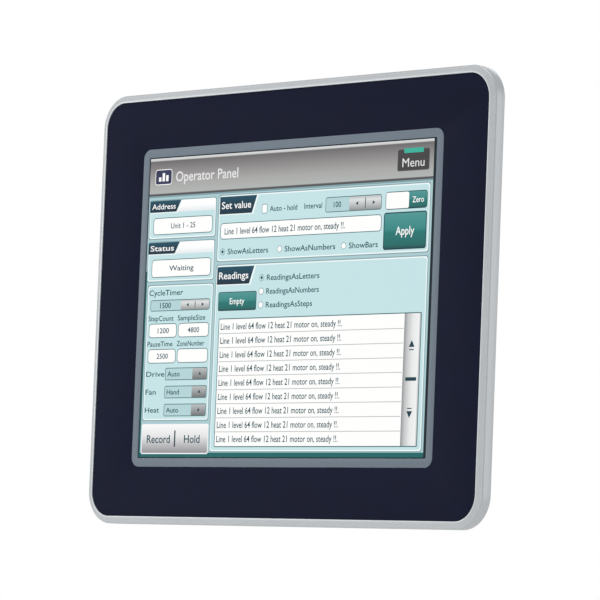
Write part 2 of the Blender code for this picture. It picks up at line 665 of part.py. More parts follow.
def build_rear(looks):
    tub_inner = grown(TUB, -WALL)
    case_inner = grown(CASE, -WALL)
    stations = (
        (TUB, TUB_FRONT),
        (TUB, TUB_BACK - TUB_CHAMFER),
        (grown(TUB, -TUB_CHAMFER), TUB_BACK),
        (CASE, TUB_BACK),
        (CASE, CASE_BACK),
        (case_inner, CASE_BACK),
        (case_inner, TUB_BACK - WALL),
        (tub_inner, TUB_BACK - WALL),
        (tub_inner, TUB_FRONT),
    )
    housing = loft("rear_housing", stations, looks["chassis"], ring=True)
    cover = sheet("rear_cover", CASE, COVER_FRONT, COVER_BACK, looks["cover"])

    tab_back = CASE_BACK - GAP
    for number, (x, z) in corners(TAB_X, TAB_Z):
        reach = CASE_TAB / 2 + WALL / 2
        tab = block(
            f"cover_tab_{number}",
            (x - reach, x + reach),
            (tab_back - TAB_THICK, tab_back),
            (z - reach, z + reach),
            looks["chassis"],
        )
        combine(housing, tab, "UNION")
        hole = bar(
            f"cover_hole_{number}",
            CASE_SCREW[0] + HOLE_GAP,
            tab_back - TAB_THICK - PAST,
            COVER_BACK + PAST,
            (x, depth(0), z),
            (0, 1, 0),
            looks["chassis"],
        )
        combine(housing, hole)
        combine(cover, hole)
        seat = (x, depth(COVER_BACK + GAP), z)
        screw(f"cover_screw_{number}", CASE_SCREW, seat, (0, -1, 0), looks["zinc"])

    for number, (x, z) in corners(TOWER_X, TOWER_Z):
        hole = bar(
            f"housing_hole_{number}",
            CASE_SCREW[0] + HOLE_GAP,
            PLATE_FRONT - PAST,
            TUB_BACK + PAST,
            (x, depth(0), z),
            (0, 1, 0),
            looks["chassis"],
        )
        combine(housing, hole)
        seat = (x, depth(TUB_BACK + GAP), z)
        screw(f"housing_screw_{number}", CASE_SCREW, seat, (0, -1, 0), looks["zinc"])

    front, back = clamp_slot()
    for number, (x, z) in corners(CLAMP_SPACING / 2, TUB[1] / 2 - WALL / 2):
        reach = CLAMP_TONGUE[0] / 2 + HOLE_GAP
        slot = block(
            f"clamp_slot_{number}",
            (x - reach, x + reach),
            (front, back),
            (z - WALL, z + WALL),
            looks["chassis"],
        )
        combine(housing, slot)

    for row, z in (("top", CASE[1] / 4), ("bottom", -CASE[1] / 4)):
        for number in range(VENT_COUNT):
            x = (number - (VENT_COUNT - 1) / 2) * VENT_PITCH
            slot = block(
                f"vent_{row}_{number}",
                (x - VENT[0] / 2, x + VENT[0] / 2),
                (COVER_FRONT - PAST, COVER_BACK + PAST),
                (z - VENT[1] / 2, z + VENT[1] / 2),
                looks["cover"],
            )
            combine(cover, slot)
    for number in range(VENT_COUNT):
        x = (number - (VENT_COUNT - 1) / 2) * VENT_PITCH
        slot = block(
            f"vent_wall_{number}",
            (x - VENT[0] / 2, x + VENT[0] / 2),
            (TUB_BACK + WALL_VENT_MARGIN, CASE_BACK - WALL_VENT_MARGIN),
            (CASE[1] / 2 - 2 * WALL, CASE[1] / 2 + WALL),
            looks["chassis"],
        )
        combine(housing, slot)

    width, ports_back = io_size()
    opening = block(
        "io_opening",
        (-width / 2 + IO_LIP, width / 2 - IO_LIP),
        (PARTS_FRONT - PAST, ports_back + PAST),
        (CASE_BOTTOM - WALL, CASE_BOTTOM + 2 * WALL),
        looks["chassis"],
    )
    combine(housing, opening)
    for cutter in service_openings(looks):
        combine(housing, cutter)

    stud_x = -(TUB[0] + CASE[0]) / 4
    stud_z = CASE_BOTTOM - STUD_BELOW
    shank, washer, nut = STUD
    washer_back, nut_back, thread_end, tip = (TUB_BACK + step for step in STUD_STEPS)
    root = TUB_BACK - WALL + 0.1 * MM
    stud = (
        (0, root),
        (shank, root),
        (shank, TUB_BACK + GAP),
        (washer, TUB_BACK + GAP),
        (washer, washer_back),
        (nut, washer_back),
        (nut, nut_back),
        (shank, nut_back),
        (shank, thread_end),
        (STUD_TIP, tip),
        (0, tip),
    )
    turned("earth_stud", stud, (stud_x, depth(0), stud_z), (0, 1, 0), looks["brass"])
    hole = bar(
        "stud_hole",
        shank + HOLE_GAP,
        TUB_BACK - 2 * WALL,
        TUB_BACK + WALL,
        (stud_x, depth(0), stud_z),
        (0, 1, 0),
        looks["chassis"],
    )
    combine(housing, hole)


def build_clamps(looks):
    """Four hooks in the tub's walls, each with a screw that presses on the cabinet from behind."""
    wall = TUB[1] / 2
    width, length, height = CLAMP_SIZE
    tongue_front = SEAL_BACK + CLAMP_STANDOFF + CLAMP_TONGUE_AHEAD
    tongue_back = tongue_front + CLAMP_TONGUE[1]
    lip_top = wall - WALL - GAP
    body_front = tongue_front + CLAMP_BODY_BACK
    body_bottom = wall + GAP
    screw_z = body_bottom + height / 2
    hook = (
        (tongue_front, body_bottom + PAST),
        (tongue_front, lip_top - CLAMP_DROP),
        (tongue_back + CLAMP_LIP, lip_top - CLAMP_DROP),
        (tongue_back + CLAMP_LIP, lip_top),
        (tongue_back, lip_top),
        (tongue_back, body_bottom + PAST),
    )
    for number, (x, z) in corners(CLAMP_SPACING / 2, wall):
        upper = z > 0
        place = Matrix.Translation((x, 0, 0))
        if not upper:
            place = place @ Matrix.Rotation(math.pi, 4, "Y")
        clamp = block(
            f"clamp_body_{number}",
            (-width / 2, width / 2),
            (body_front, body_front + length),
            (body_bottom, body_bottom + height),
            looks["clamp"],
            origin=(0.0, 0.0, 0.0),
        )
        reach = CLAMP_TONGUE[0] / 2
        tongue = prism(f"clamp_hook_{number}", hook, "X", -reach, reach, looks["clamp"])
        bore = bar(
            f"clamp_bore_{number}",
            CLAMP_SCREW[0] + HOLE_GAP,
            body_front - 3 * PAST,
            body_front + length + PAST,
            (0, depth(0), screw_z),
            (0, 1, 0),
            looks["clamp"],
        )
        head_front = SEAL_BACK + CABINET_MOST + CLAMP_HEAD_GAP + CLAMP_SCREW[3]
        seat = (0, depth(head_front), screw_z)
        made = screw(f"clamp_screw_{number}", CLAMP_SCREW, seat, (0, -1, 0), looks["zinc"])
        for item in (clamp, tongue, bore, made):
            item.matrix_world = place @ item.matrix_basis
        combine(clamp, tongue, "UNION")
        combine(clamp, bore)


def build_electronics(looks):
    plate = sheet("mounting_plate", PLATE, PLATE_FRONT, PLATE_BACK, looks["steel"])
    for number, (x, z) in corners(TOWER_X, TOWER_Z):
        combine(plate, bpy.data.objects[f"housing_hole_{number}"])
    window = block(
        "plate_window",
        (TAIL_X - TAIL_WIDTH / 2 - TAIL_WINDOW, TAIL_X + TAIL_WIDTH / 2 + TAIL_WINDOW),
        (PLATE_FRONT - PAST, PLATE_BACK + PAST),
        (-CASE[1] / 2 - 2.0 * MM, -CASE[1] / 2 + 9.0 * MM),
        looks["steel"],
    )
    combine(plate, window)

    board = sheet("main_board", BOARD, BOARD_FRONT, BOARD_BACK, looks["board"])
    hole_x = BOARD[0] / 2 - BOARD_HOLE_INSET[0]
    upper = BOARD[1] / 2 - BOARD_HOLE_INSET[1]
    lower = -BOARD[1] / 2 + BOARD_HOLE_RAISED
    holes = [(side * hole_x, z) for z in (upper, lower) for side in (-1, 1)]
    for number, (x, z) in enumerate(holes, 1):
        stand = (
            (0, PLATE_FRONT + GAP),
            (STANDOFF_RADIUS, PLATE_FRONT + GAP),
            (STANDOFF_RADIUS, PLATE_BACK + STANDOFF),
            (STANDOFF_PIN, PLATE_BACK + STANDOFF),
            (STANDOFF_PIN, BOARD_BACK + PIN_PROUD),
            (0, BOARD_BACK + PIN_PROUD),
        )
        post = turned(f"standoff_{number}", stand, (x, depth(0), z), (0, 1, 0), looks["steel"])
        combine(plate, post, "UNION")
        hole = bar(
            f"board_hole_{number}",
            STANDOFF_PIN + HOLE_GAP,
            BOARD_FRONT - PAST,
            BOARD_BACK + PAST,
            (x, depth(0), z),
            (0, 1, 0),
            looks["board"],
        )
        combine(board, hole)

    chip_x, chip_z = CHIP_PLACE
    half = CHIP / 2
    block(
        "processor",
        (chip_x - half, chip_x + half),
        (PARTS_FRONT, PARTS_FRONT + CHIP_THICK),
        (chip_z - half, chip_z + half),
        looks["chip"],
    )
    sink_front = PARTS_FRONT + CHIP_THICK + GAP
    side, height = SINK
    pitch = side / SINK_FINS
    profile = [(chip_x - side / 2, sink_front)]
    for fin in range(SINK_FINS):
        left = chip_x - side / 2 + fin * pitch
        right = left + pitch * FIN_SHARE
        profile.append((left, sink_front + height))
        profile.append((right, sink_front + height))
        if fin < SINK_FINS - 1:
            profile.append((right, sink_front + height * SINK_BASE))
            profile.append((left + pitch, sink_front + height * SINK_BASE))
        else:
            profile.append((right, sink_front))
    low = chip_z - side / 2
    prism("heatsink", profile, "Z", low, low + side, looks["sink"])

    holder = CELL_RADIUS + HOLE_GAP
    cell_front = PARTS_FRONT + HOLDER_FLOOR
    cup = (
        (0, cell_front - GAP),
        (holder, cell_front - GAP),
        (holder, cell_front + HOLDER_RIM),
        (holder + HOLDER_WALL, cell_front + HOLDER_RIM),
        (holder + HOLDER_WALL, PARTS_FRONT),
        (0, PARTS_FRONT),
    )
    place = (CELL_PLACE[0], depth(0), CELL_PLACE[1])
    turned("battery_holder", cup, place, (0, 1, 0), looks["socket"], steps=2 * ROUND_STEPS)
    coin = (
        (0, cell_front),
        (CELL_RADIUS - CELL_CHAMFER, cell_front),
        (CELL_RADIUS, cell_front + CELL_CHAMFER),
        (CELL_RADIUS, cell_front + CELL_HEIGHT),
        (0, cell_front + CELL_HEIGHT),
    )
    turned("coin_cell", coin, place, (0, 1, 0), looks["zinc"], steps=2 * ROUND_STEPS)

    radius, height = BUZZER
    hole, sunk = SOUND_HOLE
    top = PARTS_FRONT + height
    sounder = (
        (0, PARTS_FRONT),
        (radius, PARTS_FRONT),
        (radius, top),
        (hole, top),
        (hole, top - sunk),
        (0, top - sunk),
    )
    place = (BUZZER_PLACE[0], depth(0), BUZZER_PLACE[1])
    turned("buzzer", sounder, place, (0, 1, 0), looks["socket"], steps=20)

    board_back = PARTS_FRONT + DRIVER_THICK
    driver = block("backlight_driver", DRIVER_X, (PARTS_FRONT, board_back), DRIVER_Z, looks["board"])
    coil_front = PARTS_FRONT + DRIVER_THICK / 2
    coil = block("driver_coil", COIL_X, (coil_front, PARTS_FRONT + COIL_HEIGHT), COIL_Z, looks["board"])
    combine(driver, coil, "UNION")


def cavity(made, name, centre_x, width, depths, length, look):
    """Cut a socket open to the bottom. The depths are counted from the sockets' front."""
    bottom = IO_BOTTOM - PORT_PROUD
    hollow = block(
        name,
        (centre_x - width / 2, centre_x + width / 2),
        (PARTS_FRONT + depths[0], PARTS_FRONT + depths[1]),
        (bottom - PAST, bottom + length),
        look,
    )
    combine(made, hollow)


def build_ports(looks):
    bottom = IO_BOTTOM - PORT_PROUD
    width, ports_back = io_size()
    plate = block(
        "io_plate",
        (-width / 2, width / 2),
        (PARTS_FRONT - 3.6 * MM, ports_back + 2.2 * MM),
        (IO_BOTTOM, IO_TOP),
        looks["cover"],
    )
    for name, x, wide, tall in port_places():
        look = looks["socket"] if name in ("power_header", "card_slot") else looks["steel"]
        port = block(
            name,
            (x - wide / 2, x + wide / 2),
            (PARTS_FRONT, PARTS_FRONT + tall),
            (bottom, bottom + PORT_LENGTH),
            look,
        )
        passage = block(
            f"{name}_passage",
            (x - wide / 2 - HOLE_GAP, x + wide / 2 + HOLE_GAP),
            (PARTS_FRONT - HOLE_GAP, PARTS_FRONT + tall + HOLE_GAP),
            (IO_BOTTOM - PAST, IO_TOP + PAST),
            looks["cover"],
        )
        combine(plate, passage)
        if name == "power_header":
            wall, depths, length = POWER_HOLLOW
            cavity(port, "power_hollow", x, wide - 2 * wall, depths, length, look)
            build_plug(x, wide, looks)
        elif name == "network_port":
            across, depths = NETWORK_HOLLOW
            cavity(port, "network_hollow", x, across, depths, HOLLOW_LENGTH, look)
        elif name == "usb_port":
            across, depths = USB_HOLLOW
            for side in (-1, 1):
                middle = x + side * wide / 4
                cavity(port, f"usb_hollow_{side}", middle, across, depths, HOLLOW_LENGTH, look)
        elif name == "card_slot":
            wall, depths, length = CARD_HOLLOW
            cavity(port, "card_hollow", x, wide - 2 * wall, depths, length, look)
            build_door(x, wide, plate, looks)
        else:
            add_serial(port, name, x, PARTS_FRONT + tall / 2, look)


def add_serial(port, name, x, middle, look):
    """Metal shell and two jack posts on the mouth of a serial connector."""
    bottom = IO_BOTTOM - PORT_PROUD
    width, thick, reach = SHELL
    radius, spacing, proud = JACK
    for side in (-1, 1):
        place = (x + side * spacing, depth(middle), 0)
        start, end = bottom - proud, bottom + PORT_ROOT
        post = bar(f"{name}_jack_{side}", radius, start, end, place, (0, 0, 1), look)
        combine(port, post, "UNION")
    shell = block(
        f"{name}_shell",
        (x - width / 2, x + width / 2),
        (middle - thick / 2, middle + thick / 2),
        (bottom - reach, bottom + PORT_ROOT),
        look,
    )
    combine(port, shell, "UNION")


def build_plug(x, wide, looks):
    wall, (front, back), _ = POWER_HOLLOW
    front, back = PARTS_FRONT + front, PARTS_FRONT + back
    bottom = IO_BOTTOM - PORT_PROUD
    hilt = bottom - HOLE_GAP
    middle = (front + back) / 2
    half = wide / 2 - wall - GAP
    origin = (x, depth(middle), hilt)
    plug = block(
        "power_plug",
        (x - half, x + half),
        (front + GAP, back - GAP),
        (hilt - PAST, bottom + PLUG_NOSE),
        looks["plug"],
        origin=origin,
    )
    thick, length = PLUG_GRIP
    grip = block(
        "plug_grip",
        (x - wide / 2 + GAP, x + wide / 2 - GAP),
        (middle - thick / 2, middle + thick / 2),
        (hilt - length, hilt),
        looks["plug"],
    )
    combine(plug, grip, "UNION")
    across, entry_front, entry_back, entry_length = PLUG_ENTRY
    radius, sunk, below = PLUG_WELL
    for pole in (-1, 0, 1):
        pole_x = x + pole * PLUG_POLES
        entry = block(
            f"wire_entry_{pole}",
            (pole_x - across / 2, pole_x + across / 2),
            (middle - entry_front, middle - entry_back),
            (hilt - length - PAST, hilt - length + entry_length),
            looks["plug"],
        )
        combine(plug, entry)
        well_floor = middle + thick / 2 - sunk
        place = (pole_x, depth(0), hilt - below)
        ends = (well_floor, middle + thick / 2 + PAST)
        well = bar(f"plug_screw_well_{pole}", radius, *ends, place, (0, 1, 0), looks["plug"])
        combine(plug, well)


def door_pivot():
    """Depth and height of the card door's hinge axis."""
    return PARTS_FRONT - DOOR_AHEAD, IO_BOTTOM - DOOR_BELOW - DOOR_BARREL


def build_door(x, wide, plate, looks):
    """Flap over the card slot. Its barrel turns on two pins that stand out of lugs on the plate."""
    pivot, pivot_z = door_pivot()
    half = wide / 2 + DOOR_WING
    bore = DOOR_PIN + HOLE_GAP
    axis = (1, 0, 0)
    origin = (x, depth(pivot), pivot_z)
    door = bar("card_door", DOOR_BARREL, -half, half, origin, axis, looks["door"])
    top = pivot_z + DOOR_BARREL
    flap = block(
        "door_flap",
        (x - half, x + half),
        (pivot, pivot + DOOR_FLAP),
        (top - DOOR_THICK, top),
        looks["door"],
    )
    combine(door, flap, "UNION")
    hole = bar("door_bore", bore, -half - PAST, half + PAST, origin, axis, looks["door"])
    combine(door, hole)
    for side in (-1, 1):
        lug = block(
            f"door_lug_{side}",
            tuple(sorted((x + side * (half + GAP), x + side * (half + GAP + DOOR_LUG)))),
            (pivot - DOOR_BARREL, pivot + DOOR_BARREL),
            (pivot_z - DOOR_BARREL, IO_BOTTOM + WALL / 2),
            looks["cover"],
        )
        combine(plate, lug, "UNION")
        start, end = sorted((side * (half - DOOR_PIN_REACH), side * (half + DOOR_LUG / 2)))
        pin = bar(f"door_pin_{side}", DOOR_PIN, start, end, origin, axis, looks["cover"])
        combine(plate, pin, "UNION")


def switch_face():
    return CASE[0] / 2 - WALL - SWITCH_RECESS


def service_openings(looks):
    """Cutters for the holes in the right side wall that the service switches show through."""
    middle = PARTS_FRONT + SWITCH_DEPTH / 2
    wall = (CASE[0] / 2 - 2 * WALL, CASE[0] / 2 + WALL)
    window = block(
        "switch_window",
        wall,
        (middle - WINDOW_HALF[0], middle + WINDOW_HALF[0]),
        (SWITCH_Z - WINDOW_HALF[1], SWITCH_Z + WINDOW_HALF[1]),
        looks["chassis"],
    )
    hole = bar(
        "button_hole",
        BUTTON_RADIUS + HOLE_GAP,
        wall[0],
        wall[1],
        (0, depth(middle), BUTTON_Z),
        (1, 0, 0),
        looks["chassis"],
    )
    return window, hole


def build_switches(looks):
    face = switch_face()
    middle = PARTS_FRONT + SWITCH_DEPTH / 2
    switch = block(
        "dip_switch",
        (face - DIP_SIZE[0], face),
        (PARTS_FRONT, PARTS_FRONT + SWITCH_DEPTH),
        (SWITCH_Z - DIP_SIZE[1] / 2, SWITCH_Z + DIP_SIZE[1] / 2),
        looks["socket"],
    )
    reach = LEVER / 2 + GAP
    for number, z in ((1, SWITCH_Z + LEVER_PITCH / 2), (2, SWITCH_Z - LEVER_PITCH / 2)):
        slot = block(
            f"lever_slot_{number}",
            (face - LEVER_SINK - GAP, face + PAST),
            (middle - LEVER_TRAVEL / 2 - reach, middle + LEVER_TRAVEL / 2 + reach),
            (z - reach, z + reach),
            looks["socket"],
        )
        combine(switch, slot)
        start = middle - LEVER_TRAVEL / 2
        block(
            f"dip_lever_{number}",
            (face - LEVER_SINK, face + LEVER_PROUD),
            (start - LEVER / 2, start + LEVER / 2),
            (z - LEVER / 2, z + LEVER / 2),
            looks["lever"],
        )
    body = block(
        "reset_switch",
        (face - RESET_RECESS - RESET_SIZE[0], face - RESET_RECESS),
        (PARTS_FRONT, PARTS_FRONT + SWITCH_DEPTH),
        (BUTTON_Z - RESET_SIZE[1] / 2, BUTTON_Z + RESET_SIZE[1] / 2),
        looks["socket"],
    )
    centre = (face, depth(middle), BUTTON_Z)
    bore = bar(
        "button_bore",
        BUTTON_RADIUS + GAP,
        -BUTTON_SINK,
        0.0,
        centre,
        (1, 0, 0),
        looks["socket"],
    )
    combine(body, bore)
    start = GAP + BUTTON_TRAVEL - BUTTON_SINK
    bar("reset_button", BUTTON_RADIUS, start, BUTTON_PROUD, centre, (1, 0, 0), looks["lever"])


def build():
    clear_scene()
    looks = {
        "frame": material("satin_silver", "CFD2D4", 0.42, 0.25),
        "overlay": material("navy_overlay", "202332", 0.55),
        "border": material("grey_border", "7A8692", 0.45),
        "film": material("touch_film", "C8E3E7", 0.2),
        "glass": material("clear_glass", "DDE8EA", 0.08, clear=0.4),
        "foam": material("black_foam", "26282A", 0.9),
        "seal": material("seal_rubber", "2B2D2F", 0.8),
        "flex": material("flex_lead", "B5742B", 0.5),
        "steel": material("bright_steel", "B9BDC0", 0.35, 1.0),
        "cell": material("dark_cell", "1B2226", 0.15),
        "diffuser": material("white_diffuser", "EDEFEF", 0.6),
        "guide": material("light_guide", "E4ECEE", 0.1, clear=0.5),
        "lamp": material("lamp_strip", "F0EBD0", 0.5),
        "chassis": material("zinc_sheet", "A9AEB1", 0.4, 0.9),
        "cover": material("cover_sheet", "B4B8BB", 0.4, 0.9),
        "zinc": material("zinc_screw", "C3C6C8", 0.3, 1.0),
        "clamp": material("clamp_cast", "8E9295", 0.5, 0.8),
        "board": material("green_board", "1F5B3A", 0.45),
        "chip": material("black_chip", "1D1E20", 0.5),
        "sink": material("black_sink", "2A2C2E", 0.45, 0.6),
        "socket": material("black_socket", "202224", 0.5),
        "plug": material("green_plug", "2E8B4E", 0.5),
        "door": material("grey_door", "5C6267", 0.5),
        "lever": material("white_lever", "E6E6E2", 0.45),
        "brass": material("brass_stud", "C9A75A", 0.3, 1.0),
    }
    build_front(looks)
    build_tail(looks)
    build_display(looks)
    build_rear(looks)
    build_clamps(looks)
    build_electronics(looks)
    build_ports(looks)
    build_switches(looks)


build()
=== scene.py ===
import math
import bmesh
import bpy
from mathutils import Matrix, Vector


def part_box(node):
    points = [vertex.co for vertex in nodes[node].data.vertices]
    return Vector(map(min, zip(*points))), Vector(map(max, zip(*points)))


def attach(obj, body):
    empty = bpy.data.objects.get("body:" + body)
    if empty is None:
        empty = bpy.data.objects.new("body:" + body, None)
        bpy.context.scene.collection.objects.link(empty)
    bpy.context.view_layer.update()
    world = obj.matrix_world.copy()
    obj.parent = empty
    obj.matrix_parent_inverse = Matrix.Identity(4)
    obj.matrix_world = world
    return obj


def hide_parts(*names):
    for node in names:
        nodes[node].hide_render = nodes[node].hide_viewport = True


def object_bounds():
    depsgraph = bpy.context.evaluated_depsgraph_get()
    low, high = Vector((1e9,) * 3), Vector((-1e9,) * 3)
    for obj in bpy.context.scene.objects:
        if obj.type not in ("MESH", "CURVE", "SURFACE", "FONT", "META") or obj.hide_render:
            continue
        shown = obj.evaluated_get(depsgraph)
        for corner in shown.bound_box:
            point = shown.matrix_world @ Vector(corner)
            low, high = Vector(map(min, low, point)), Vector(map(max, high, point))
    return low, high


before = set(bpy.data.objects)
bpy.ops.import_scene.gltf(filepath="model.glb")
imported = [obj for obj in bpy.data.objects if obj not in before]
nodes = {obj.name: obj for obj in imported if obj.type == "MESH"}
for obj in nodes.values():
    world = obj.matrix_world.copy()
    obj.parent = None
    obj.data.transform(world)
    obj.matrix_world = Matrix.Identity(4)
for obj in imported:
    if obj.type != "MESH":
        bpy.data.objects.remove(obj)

# HMI touch panel for a cabinet door, dressed for a product view.
# Metres, +Z up, the screen faces -Y. Places come from the loaded frame.
mm = 0.001
cadLow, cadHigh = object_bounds()
scene = bpy.context.scene


def linear(hexText):
    # sRGB hex text to the linear values that a shader mixes
    channels = [int(hexText[i:i + 2], 16) / 255 for i in (0, 2, 4)]
    return [c / 12.92 if c <= 0.04045 else ((c + 0.055) / 1.055) ** 2.4 for c in channels] + [1.0]


def addNode(tree, kind, settings=None, links=None):
    # inputs are named with a capital or by their number, and the node's own settings are not
    node = tree.nodes.new(kind)
    for name, value in (settings or {}).items():
        if isinstance(name, int) or name[0].isupper():
            node.inputs[name].default_value = value
        else:
            setattr(node, name, value)
    for name, source in (links or {}).items():
        tree.links.new(source, node.inputs[name])
    return node


def pickAlone(item):
    bpy.ops.object.select_all(action="DESELECT")
    item.select_set(True)
    bpy.context.view_layer.objects.active = item


def openForEdit(item, mode, test):
    # goes into edit mode with only those faces, edges or vertices selected that pass the test
    pickAlone(item)
    bpy.ops.object.mode_set(mode="EDIT")
    bpy.ops.mesh.select_mode(type=mode)
    bpy.ops.mesh.select_all(action="DESELECT")
    shape = bmesh.from_edit_mesh(item.data)
    parts = {"FACE": shape.faces, "EDGE": shape.edges, "VERT": shape.verts}[mode]
    for part in parts:
        if test(part):
            part.select_set(True)
    shape.select_flush_mode()
    bmesh.update_edit_mesh(item.data)


def closeEdit():
    bpy.ops.object.mode_set(mode="OBJECT")


def shaped(item, mode, test, operator, **settings):
    # one operator on the picked faces, edges or vertices
    openForEdit(item, mode, test)
    operator(**settings)
    closeEdit()


def settle(item):
    # leaves the object at the origin, unturned and unscaled, with its place in its mesh
    pickAlone(item)
    bpy.ops.object.transform_apply(location=True, rotation=True, scale=True)


def addBox(name, low, high):
    bpy.ops.object.select_all(action="DESELECT")
    low, high = Vector(low), Vector(high)
    bpy.ops.mesh.primitive_cube_add(size=1, location=(low + high) / 2)
    item = bpy.context.object
    item.name = name
    item.scale = high - low
    settle(item)
    return item


def addRound(name, centre, radius, length, axis="Y", sides=48):
    bpy.ops.object.select_all(action="DESELECT")
    turn = {"X": (0, math.pi / 2, 0), "Y": (math.pi / 2, 0, 0), "Z": (0, 0, 0)}[axis]
    bpy.ops.mesh.primitive_cylinder_add(
        vertices=sides, radius=radius, depth=length, location=centre, rotation=turn)
    item = bpy.context.object
    item.name = name
    settle(item)
    return item


def along(edge, axis):
    # true for an edge that runs along X, Y or Z
    way = edge.verts[1].co - edge.verts[0].co
    return abs(way.normalized()[axis]) > 0.999


def facing(face, axis, sign):
    return face.normal[axis] * sign > 0.99


def bevelEdges(item, test, width, segments=1):
    shaped(item, "EDGE", test, bpy.ops.mesh.bevel, offset=width, segments=segments, affect="EDGES")


def bevelRims(item, width, segments=1, axis="Y"):
    # both end rims of a round piece that runs along an axis
    bevelEdges(item, lambda edge: not along(edge, "XYZ".index(axis)), width, segments)


def insetFaces(item, test, steps):
    # each step moves the selected face inwards by its first number and forwards by its second
    openForEdit(item, "FACE", test)
    for inwards, forwards in steps:
        bpy.ops.mesh.inset(thickness=inwards, depth=forwards)
    closeEdit()


def applyModifier(item, kind, **settings):
    pickAlone(item)
    step = item.modifiers.new(kind.lower(), kind)
    for name, value in settings.items():
        setattr(step, name, value)
    bpy.ops.object.modifier_apply(modifier=step.name)


def cutOut(item, cutter):
    applyModifier(item, "BOOLEAN", operation="DIFFERENCE", solver="EXACT", object=cutter)
    bpy.data.objects.remove(cutter)


def softenEdges(item, width, segments=2):
    applyModifier(item, "BEVEL", width=width, segments=segments, limit_method="ANGLE",
                  angle_limit=math.radians(30), use_clamp_overlap=True, harden_normals=False)
    smooth(item, 60)
    # flat faces keep even shading beside their rounded edges
    applyModifier(item, "WEIGHTED_NORMAL", mode="FACE_AREA", keep_sharp=True, weight=100)


def smooth(item, angle=30):
    pickAlone(item)
    bpy.ops.object.shade_smooth_by_angle(angle=math.radians(angle))


def joined(name, items):
    bpy.ops.object.select_all(action="DESELECT")
    for item in items:
        item.select_set(True)
    bpy.context.view_layer.objects.active = items[0]
    if len(items) > 1:
        bpy.ops.object.join()
    made = bpy.context.object
    made.name = name
    return made


def paint(item, material):
    item.data.materials.clear()
    item.data.materials.append(material)


copied = {"weld": 0.002 * mm, "flatWithin": 1.0}  # the second in degrees


def cadCopy(name, node):
    # a copy of a CAD solid with its loose triangles merged into whole faces
    item = nodes[node].copy()
    item.data = nodes[node].data.copy()
    item.name = name
    for key in list(item.keys()):
        del item[key]
    item.parent = None
    item.hide_render = False
    scene.collection.objects.link(item)
    pickAlone(item)
    item.data.materials.clear()
    bpy.ops.object.mode_set(mode="EDIT")
    bpy.ops.mesh.select_all(action="SELECT")
    bpy.ops.mesh.remove_doubles(threshold=copied["weld"])
    bpy.ops.mesh.dissolve_limited(angle_limit=math.radians(copied["flatWithin"]))
    closeEdit()
    return item


def placePiece(name, items, slotName, body="panel", node=None, material=None):
    # joins the items as one piece on a body, which stands for a node if one is given
    made = joined(name, items)
    paint(made, material or looks[slotName])
    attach(made, body)
    if node:
        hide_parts(node)


print("camera and room")
cameraPlace = {
    "turn": 46.02,  # degrees round from straight ahead, to the object's right
    "tilt": -4.22,  # below the object's middle, looking up
    "roll": 2.24,
    "distance": 2.138,
    "lens": 251.6,
    "aimRight": 13.4 * mm,
    "aimUp": 1.0 * mm,
    "sensor": 36,
    "clip": (0.05, 50),
}


def addCamera():
    turn, tilt, roll = (math.radians(cameraPlace[key]) for key in ("turn", "tilt", "roll"))
    forward = Vector((-math.sin(turn) * math.cos(tilt), math.cos(turn) * math.cos(tilt), -math.sin(tilt)))
    level = Vector((math.cos(turn), math.sin(turn), 0))
    upright = level.cross(forward)
    sideways = math.cos(roll) * level + math.sin(roll) * upright
    upwards = -math.sin(roll) * level + math.cos(roll) * upright
    bpy.ops.object.camera_add()
    camera = bpy.context.object
    camera.data.lens = cameraPlace["lens"]
    camera.data.sensor_width = cameraPlace["sensor"]
    aim = Vector((cameraPlace["aimRight"], cadLow.y, cameraPlace["aimUp"]))
    turned = Matrix((sideways, upwards, -forward)).transposed().to_4x4()
    camera.matrix_world = Matrix.Translation(aim - forward * cameraPlace["distance"]) @ turned
    camera.data.clip_start, camera.data.clip_end = cameraPlace["clip"]
    scene.camera = camera


addCamera()

room = {
    "floorBelow": 0.24,  # floor under the object's lower edge
    "floorSize": 14.0,
    "floorColour": "F2F2F0",
    "skyColour": "FFFFFF",
    "skyForEye": 1.0,
    "skyForLight": 0.5,
}
# place, width, height and watts, all pointing at the object
softboxes = {
    "frontLeft": ((-1.7, -1.5, 0.3), 1.4, 1.2, 14),
    "frontFill": ((0.9, -2.4, 0.0), 0.9, 0.5, 5),
    "rightRear": ((1.7, 1.2, 0.25), 1.2, 1.4, 6),
    "overhead": ((0.0, -0.5, 1.9), 1.6, 1.2, 12),
    "rearFill": ((-0.9, 1.8, 0.7), 1.4, 1.2, 12),
}


def addRoom():
    sky = scene.world or bpy.data.worlds.new("sky")
    scene.world = sky
    sky.use_nodes = True
    tree = sky.node_tree
    tree.nodes.clear()
    seen = addNode(tree, "ShaderNodeLightPath")
    eye, lit = (addNode(tree, "ShaderNodeBackground",
                        {"Color": linear(room["skyColour"]), "Strength": room[strength]})
                for strength in ("skyForEye", "skyForLight"))
    both = addNode(tree, "ShaderNodeMixShader", links={
        0: seen.outputs["Is Camera Ray"], 1: lit.outputs[0], 2: eye.outputs[0]})
    addNode(tree, "ShaderNodeOutputWorld", links={"Surface": both.outputs[0]})
    bpy.ops.object.select_all(action="DESELECT")
    bpy.ops.mesh.primitive_plane_add(
        size=room["floorSize"], location=(0, 0, cadLow.z - room["floorBelow"]))
    floor = bpy.context.object
    floor.name = "studio_floor"
    settle(floor)
    for name, (place, width, height, watts) in softboxes.items():
        bpy.ops.object.light_add(type="AREA", location=place)
        lamp = bpy.context.object
        lamp.name = name
        lamp.data.shape = "RECTANGLE"
        lamp.data.size, lamp.data.size_y = width, height
        lamp.data.energy = watts
        lamp.visible_camera = False
        lamp.rotation_euler = (-Vector(place)).to_track_quat("-Z", "Z").to_euler()
    scene.view_settings.view_transform = "Standard"
    return floor


floor = addRoom()

